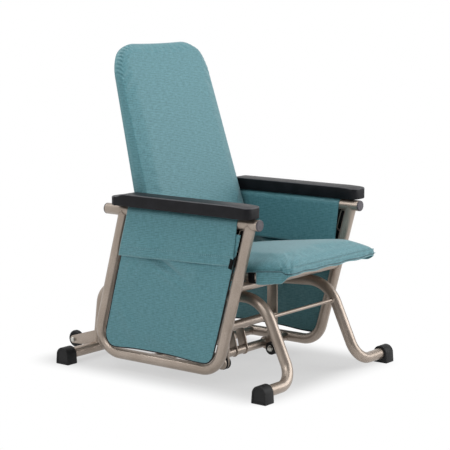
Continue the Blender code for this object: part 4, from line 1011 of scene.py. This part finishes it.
bm = bmesh.new()
clothGrid(bm, skirt["columns"], 10, skirtPoint)
seatSkirt = newPiece(bm, "seatSkirt", "cover", "glide_frame", ["seat_skirt"], 180)
thicken(seatSkirt, skirt["thick"])
# the hem piping is paler teal: a painted highlight along the skirt's lower edge
bm = bmesh.new()
piping(bm, skirtLine(1), skirt["piping"][0], skirt["pipingBend"])
skirtHem = newPiece(bm, "skirtHem", "coverThreadAndEdgeHighlight", "glide_frame", [], 60)
# the seam piping takes the darker teal: painted shadow along the seam
bm = bmesh.new()
seamLine = [Vector((spot.x * 1.007, spot.y * 1.002, spot.z)) for spot in skirtLine(None)]
piping(bm, seamLine, skirt["piping"][1], skirt["pipingBend"])
skirtSeam = newPiece(bm, "skirtSeam", "coverSeamShadow", "glide_frame", [], 60)


# Straps: a path and the way its width lies
def strap(bm, path, across, width, cells=64):
    def place(u, v):
        spot, _, length = walkPath(path, u)
        return spot + across * width * (v - 0.5), (u * length, width * v)
    clothGrid(bm, cells, 3, place)


tieStrap = {"width": 0.020, "thick": 0.0015, "bend": 0.012}
low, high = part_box("cushion_tie_strap")
bm = bmesh.new()
tieX = high.x - tieStrap["thick"] / 2
middleY = (low.y + high.y) / 2
tieCorners = [(x, middleY, z) for x, z in ((-tieX, high.z), (-tieX, low.z), (tieX, low.z), (tieX, high.z))]
strap(bm, roundPath(tieCorners, tieStrap["bend"]), Vector((0, 1, 0)), tieStrap["width"])
thicken(newPiece(bm, "tieStrap", "strap", "glide_frame", ["cushion_tie_strap"], 180), tieStrap["thick"])

# A strap ties each panel to the wire loop on its front post.
# The wire runs through it, and its end hangs outside.
postStrap = {"start": 0.020, "wide": (0.0172, 0.047), "run": 0.068, "narrow": (0.0172, 0.029), "end": 0.112,
             "tail": ((0.0030, 0.072), (0.0140, 0.079), (0.0196, 0.086), (0.0202, 0.114)), "tailAt": 0.021,
             "tailWidth": 0.012, "tailBend": 0.006, "thick": 0.0016}
for side, sign in sides:
    startZ = glide["armZ"] - postStrap["start"]
    start = Vector((sign * glide["x"], postY(glide["postTop"][0], startZ), startZ))
    bm = bmesh.new()
    for width, first, last in (("wide", 0, postStrap["run"]), ("narrow", postStrap["run"], postStrap["end"])):
        line = [start + downPost * (first + (last - first) * step / 4) for step in range(5)]
        near, far = postStrap[width]
        strap(bm, [spot + behindPost * (near + far) / 2 for spot in line], behindPost, far - near, 24)
    tail = [start + Vector((sign * out, 0, 0)) + downPost * down + behindPost * postStrap["tailAt"]
            for out, down in postStrap["tail"]]
    strap(bm, roundPath(tail, postStrap["tailBend"]), behindPost, postStrap["tailWidth"], 30)
    thicken(newPiece(bm, f"postStrap_{side}", "strap", "glide_frame", [], 180), postStrap["thick"])
    bm = bmesh.new()
    rim = ([panelPoint(sign, 1, 0.84 - step / 25)[0] for step in range(21)]
           + [panelPoint(sign, 1 - step / 40, 0)[0] for step in range(41)]
           + [panelPoint(sign, 0, step / 25)[0] for step in range(1, 22)])
    piping(bm, rim, 0.0019, 0.002)
    newPiece(bm, f"panelEdging_{side}", "edging", "glide_frame", [], 60)

# Back webbing: four straps wrapped round the back tube, and two woven through them
backStraps = {"width": 0.050, "thick": 0.0018, "rows": (0.392, 0.522, 0.652, 0.782), "pitch": 0.130,
              "columns": (-0.050, 0.050), "columnZ": (0.367, 0.0065, 69), "weave": 0.0011, "tail": 0.045}
lean = atan2(backTube["slope"], 1)
upBack, outBack = Vector((0, sin(lean), cos(lean))), Vector((0, cos(lean), -sin(lean)))
strapGap = seatTube["radius"] + 0.0012


def backSpot(x, z, out):
    return Vector((x, backTubeY(z), z)) + outBack * (out - strapGap)


bm = bmesh.new()
for row, z in enumerate(backStraps["rows"]):
    line = []
    for side in (-1, 1):
        end = side * backTube["x"]
        bend = [backSpot(end + side * strapGap * sin(pi * step / 8), z, strapGap * (1 - cos(pi * step / 8)))
                for step in range(9)]
        tail = [backSpot(end - side * backStraps["tail"], z, 2 * strapGap)]
        flat = [backSpot(side * step / 8 * backTube["x"], z, backStraps["weave"] * (-1) ** row
                         * sin(pi * step / 8 * backTube["x"] / backStraps["columns"][1]) ** 2)
                for step in range(1, 8)]
        line.append(flat + bend + tail)
    strap(bm, list(reversed(line[0])) + [backSpot(0, z, 0)] + line[1], upBack, backStraps["width"], 90)
for column, x in enumerate(backStraps["columns"]):
    startZ, stepZ, count = backStraps["columnZ"]
    weave = backStraps["weave"] * (1 if column else -1)
    line = [backSpot(x, z, weave * cos(pi * (z - backStraps["rows"][0]) / backStraps["pitch"]))
            for z in (startZ + stepZ * step for step in range(count))]
    strap(bm, line, Vector((1, 0, 0)), backStraps["width"], 80)
thicken(newPiece(bm, "backStraps", "strap", "glide_frame", ["back_webbing"], 180), backStraps["thick"])
print("straps made")

# Studio: pale floor that keeps the shadow, white surround, soft lamps and the photograph's camera
studio = {"paper": (0.90, 0.40), "fill": 0.28, "room": 0.20, "key": 98, "side": 28, "top": 34, "rim": 30,
          "print": (0.25, 0.34), "fade": (0.0, 0.14), "veil": 0.55, "front": (-0.35, 0.25)}


def seenDirectly(tree):
    path = addNode(tree, "ShaderNodeLightPath")
    bounced = addNode(tree, "ShaderNodeMath", {"operation": "MAXIMUM"},
                      {0: path.outputs["Is Glossy Ray"], 1: path.outputs["Is Transmission Ray"]})
    seen = addNode(tree, "ShaderNodeMath", {"operation": "MAXIMUM"},
                   {0: path.outputs["Is Camera Ray"], 1: bounced.outputs[0]})
    return seen.outputs[0]


bm = bmesh.new()
bmesh.ops.create_grid(bm, x_segments=1, y_segments=1, size=14)
floorMesh = bpy.data.meshes.new("studioFloor")
bm.to_mesh(floorMesh)
bm.free()
floor = bpy.data.objects.new("studioFloor", floorMesh)
scene.collection.objects.link(floor)
paper = bpy.data.materials.new("matt_paper_floor")
paper.use_nodes = True
tree = paper.node_tree
tree.nodes.clear()
tone = addNode(tree, "ShaderNodeMapRange", {"To Min": studio["paper"][0], "To Max": studio["paper"][1]},
               {"Value": seenDirectly(tree)})
matt = addNode(tree, "ShaderNodeBsdfDiffuse", None, {"Color": tone.outputs[0]})
place = addNode(tree, "ShaderNodeTexCoord").outputs["Object"]
beyond = addNode(tree, "ShaderNodeVectorMath", {"operation": "SUBTRACT", 1: (*studio["print"], 1)}, {
    0: addNode(tree, "ShaderNodeVectorMath", {"operation": "ABSOLUTE"}, {0: place}).outputs[0]})
outside = addNode(tree, "ShaderNodeVectorMath", {"operation": "MAXIMUM"}, {0: beyond.outputs[0]})
away = addNode(tree, "ShaderNodeVectorMath", {"operation": "LENGTH"}, {0: outside.outputs[0]})
fade = addNode(tree, "ShaderNodeMapRange", {"interpolation_type": "SMOOTHSTEP", "From Min": studio["fade"][0],
                                            "From Max": studio["fade"][1], "To Min": studio["veil"]},
               {"Value": away.outputs["Value"]})
share = addNode(tree, "ShaderNodeMath", {"operation": "MULTIPLY"},
                {0: fade.outputs[0], 1: seenDirectly(tree)})
white = addNode(tree, "ShaderNodeEmission", {"Color": (1, 1, 1, 1), "Strength": 1.0})
faded = addNode(tree, "ShaderNodeMixShader", None,
                {0: share.outputs[0], 1: matt.outputs[0], 2: white.outputs[0]})
addNode(tree, "ShaderNodeOutputMaterial", None, {"Surface": faded.outputs[0]})
floorMesh.materials.append(paper)

world = bpy.data.worlds.new("whiteStudio")
world.use_nodes = True
scene.world = world
tree = world.node_tree
tree.nodes.clear()
path = addNode(tree, "ShaderNodeLightPath")
place = addNode(tree, "ShaderNodeTexCoord").outputs["Generated"]
toward = addNode(tree, "ShaderNodeSeparateXYZ", None, {0: place})
front = addNode(tree, "ShaderNodeMapRange", {
    "interpolation_type": "SMOOTHSTEP", "From Min": studio["front"][0], "From Max": studio["front"][1],
    "To Min": studio["room"]}, {"Value": toward.outputs["Y"]})
room = addNode(tree, "ShaderNodeMath", {"operation": "MAXIMUM"},
               {0: front.outputs[0], 1: path.outputs["Is Camera Ray"]})
shown = addNode(tree, "ShaderNodeMath", {"operation": "MULTIPLY"},
                {0: room.outputs[0], 1: seenDirectly(tree)})
level = addNode(tree, "ShaderNodeMath", {"operation": "MAXIMUM", 1: studio["fill"]}, {0: shown.outputs[0]})
sky = addNode(tree, "ShaderNodeBackground", {"Color": (1, 1, 1, 1)}, {"Strength": level.outputs[0]})
addNode(tree, "ShaderNodeOutputWorld", None, {"Surface": sky.outputs[0]})


def lamp(name, place, target, power, size):
    light = bpy.data.lights.new(name, "AREA")
    light.energy, light.size = power, size
    holder = bpy.data.objects.new(name, light)
    holder.matrix_world = aimed(place, Vector(place) - Vector(target))
    scene.collection.objects.link(holder)


lamp("keyLamp", (1.9, -2.7, 1.8), (0, 0, 0.5), studio["key"], 3.0)
lamp("sideLamp", (-2.6, -0.2, 2.2), (0, 0, 0.3), studio["side"], 1.6)
lamp("topLamp", (0, -0.2, 3.2), (0, 0, 0), studio["top"], 2.6)
lamp("rimLamp", (-1.0, 2.3, 3.2), (0, 0, 0.5), studio["rim"], 1.4)
camera = bpy.data.cameras.new("photoCamera")
camera.lens, camera.sensor_width = 123.93, 36
holder = bpy.data.objects.new("photoCamera", camera)
holder.location = (-3.520, -2.810, 1.099)
holder.rotation_euler = (radians(81.27), 0, radians(-51.84))
scene.collection.objects.link(holder)
scene.camera = holder
scene.view_settings.view_transform = "Standard"
bpy.context.view_layer.update()
print("studio made")
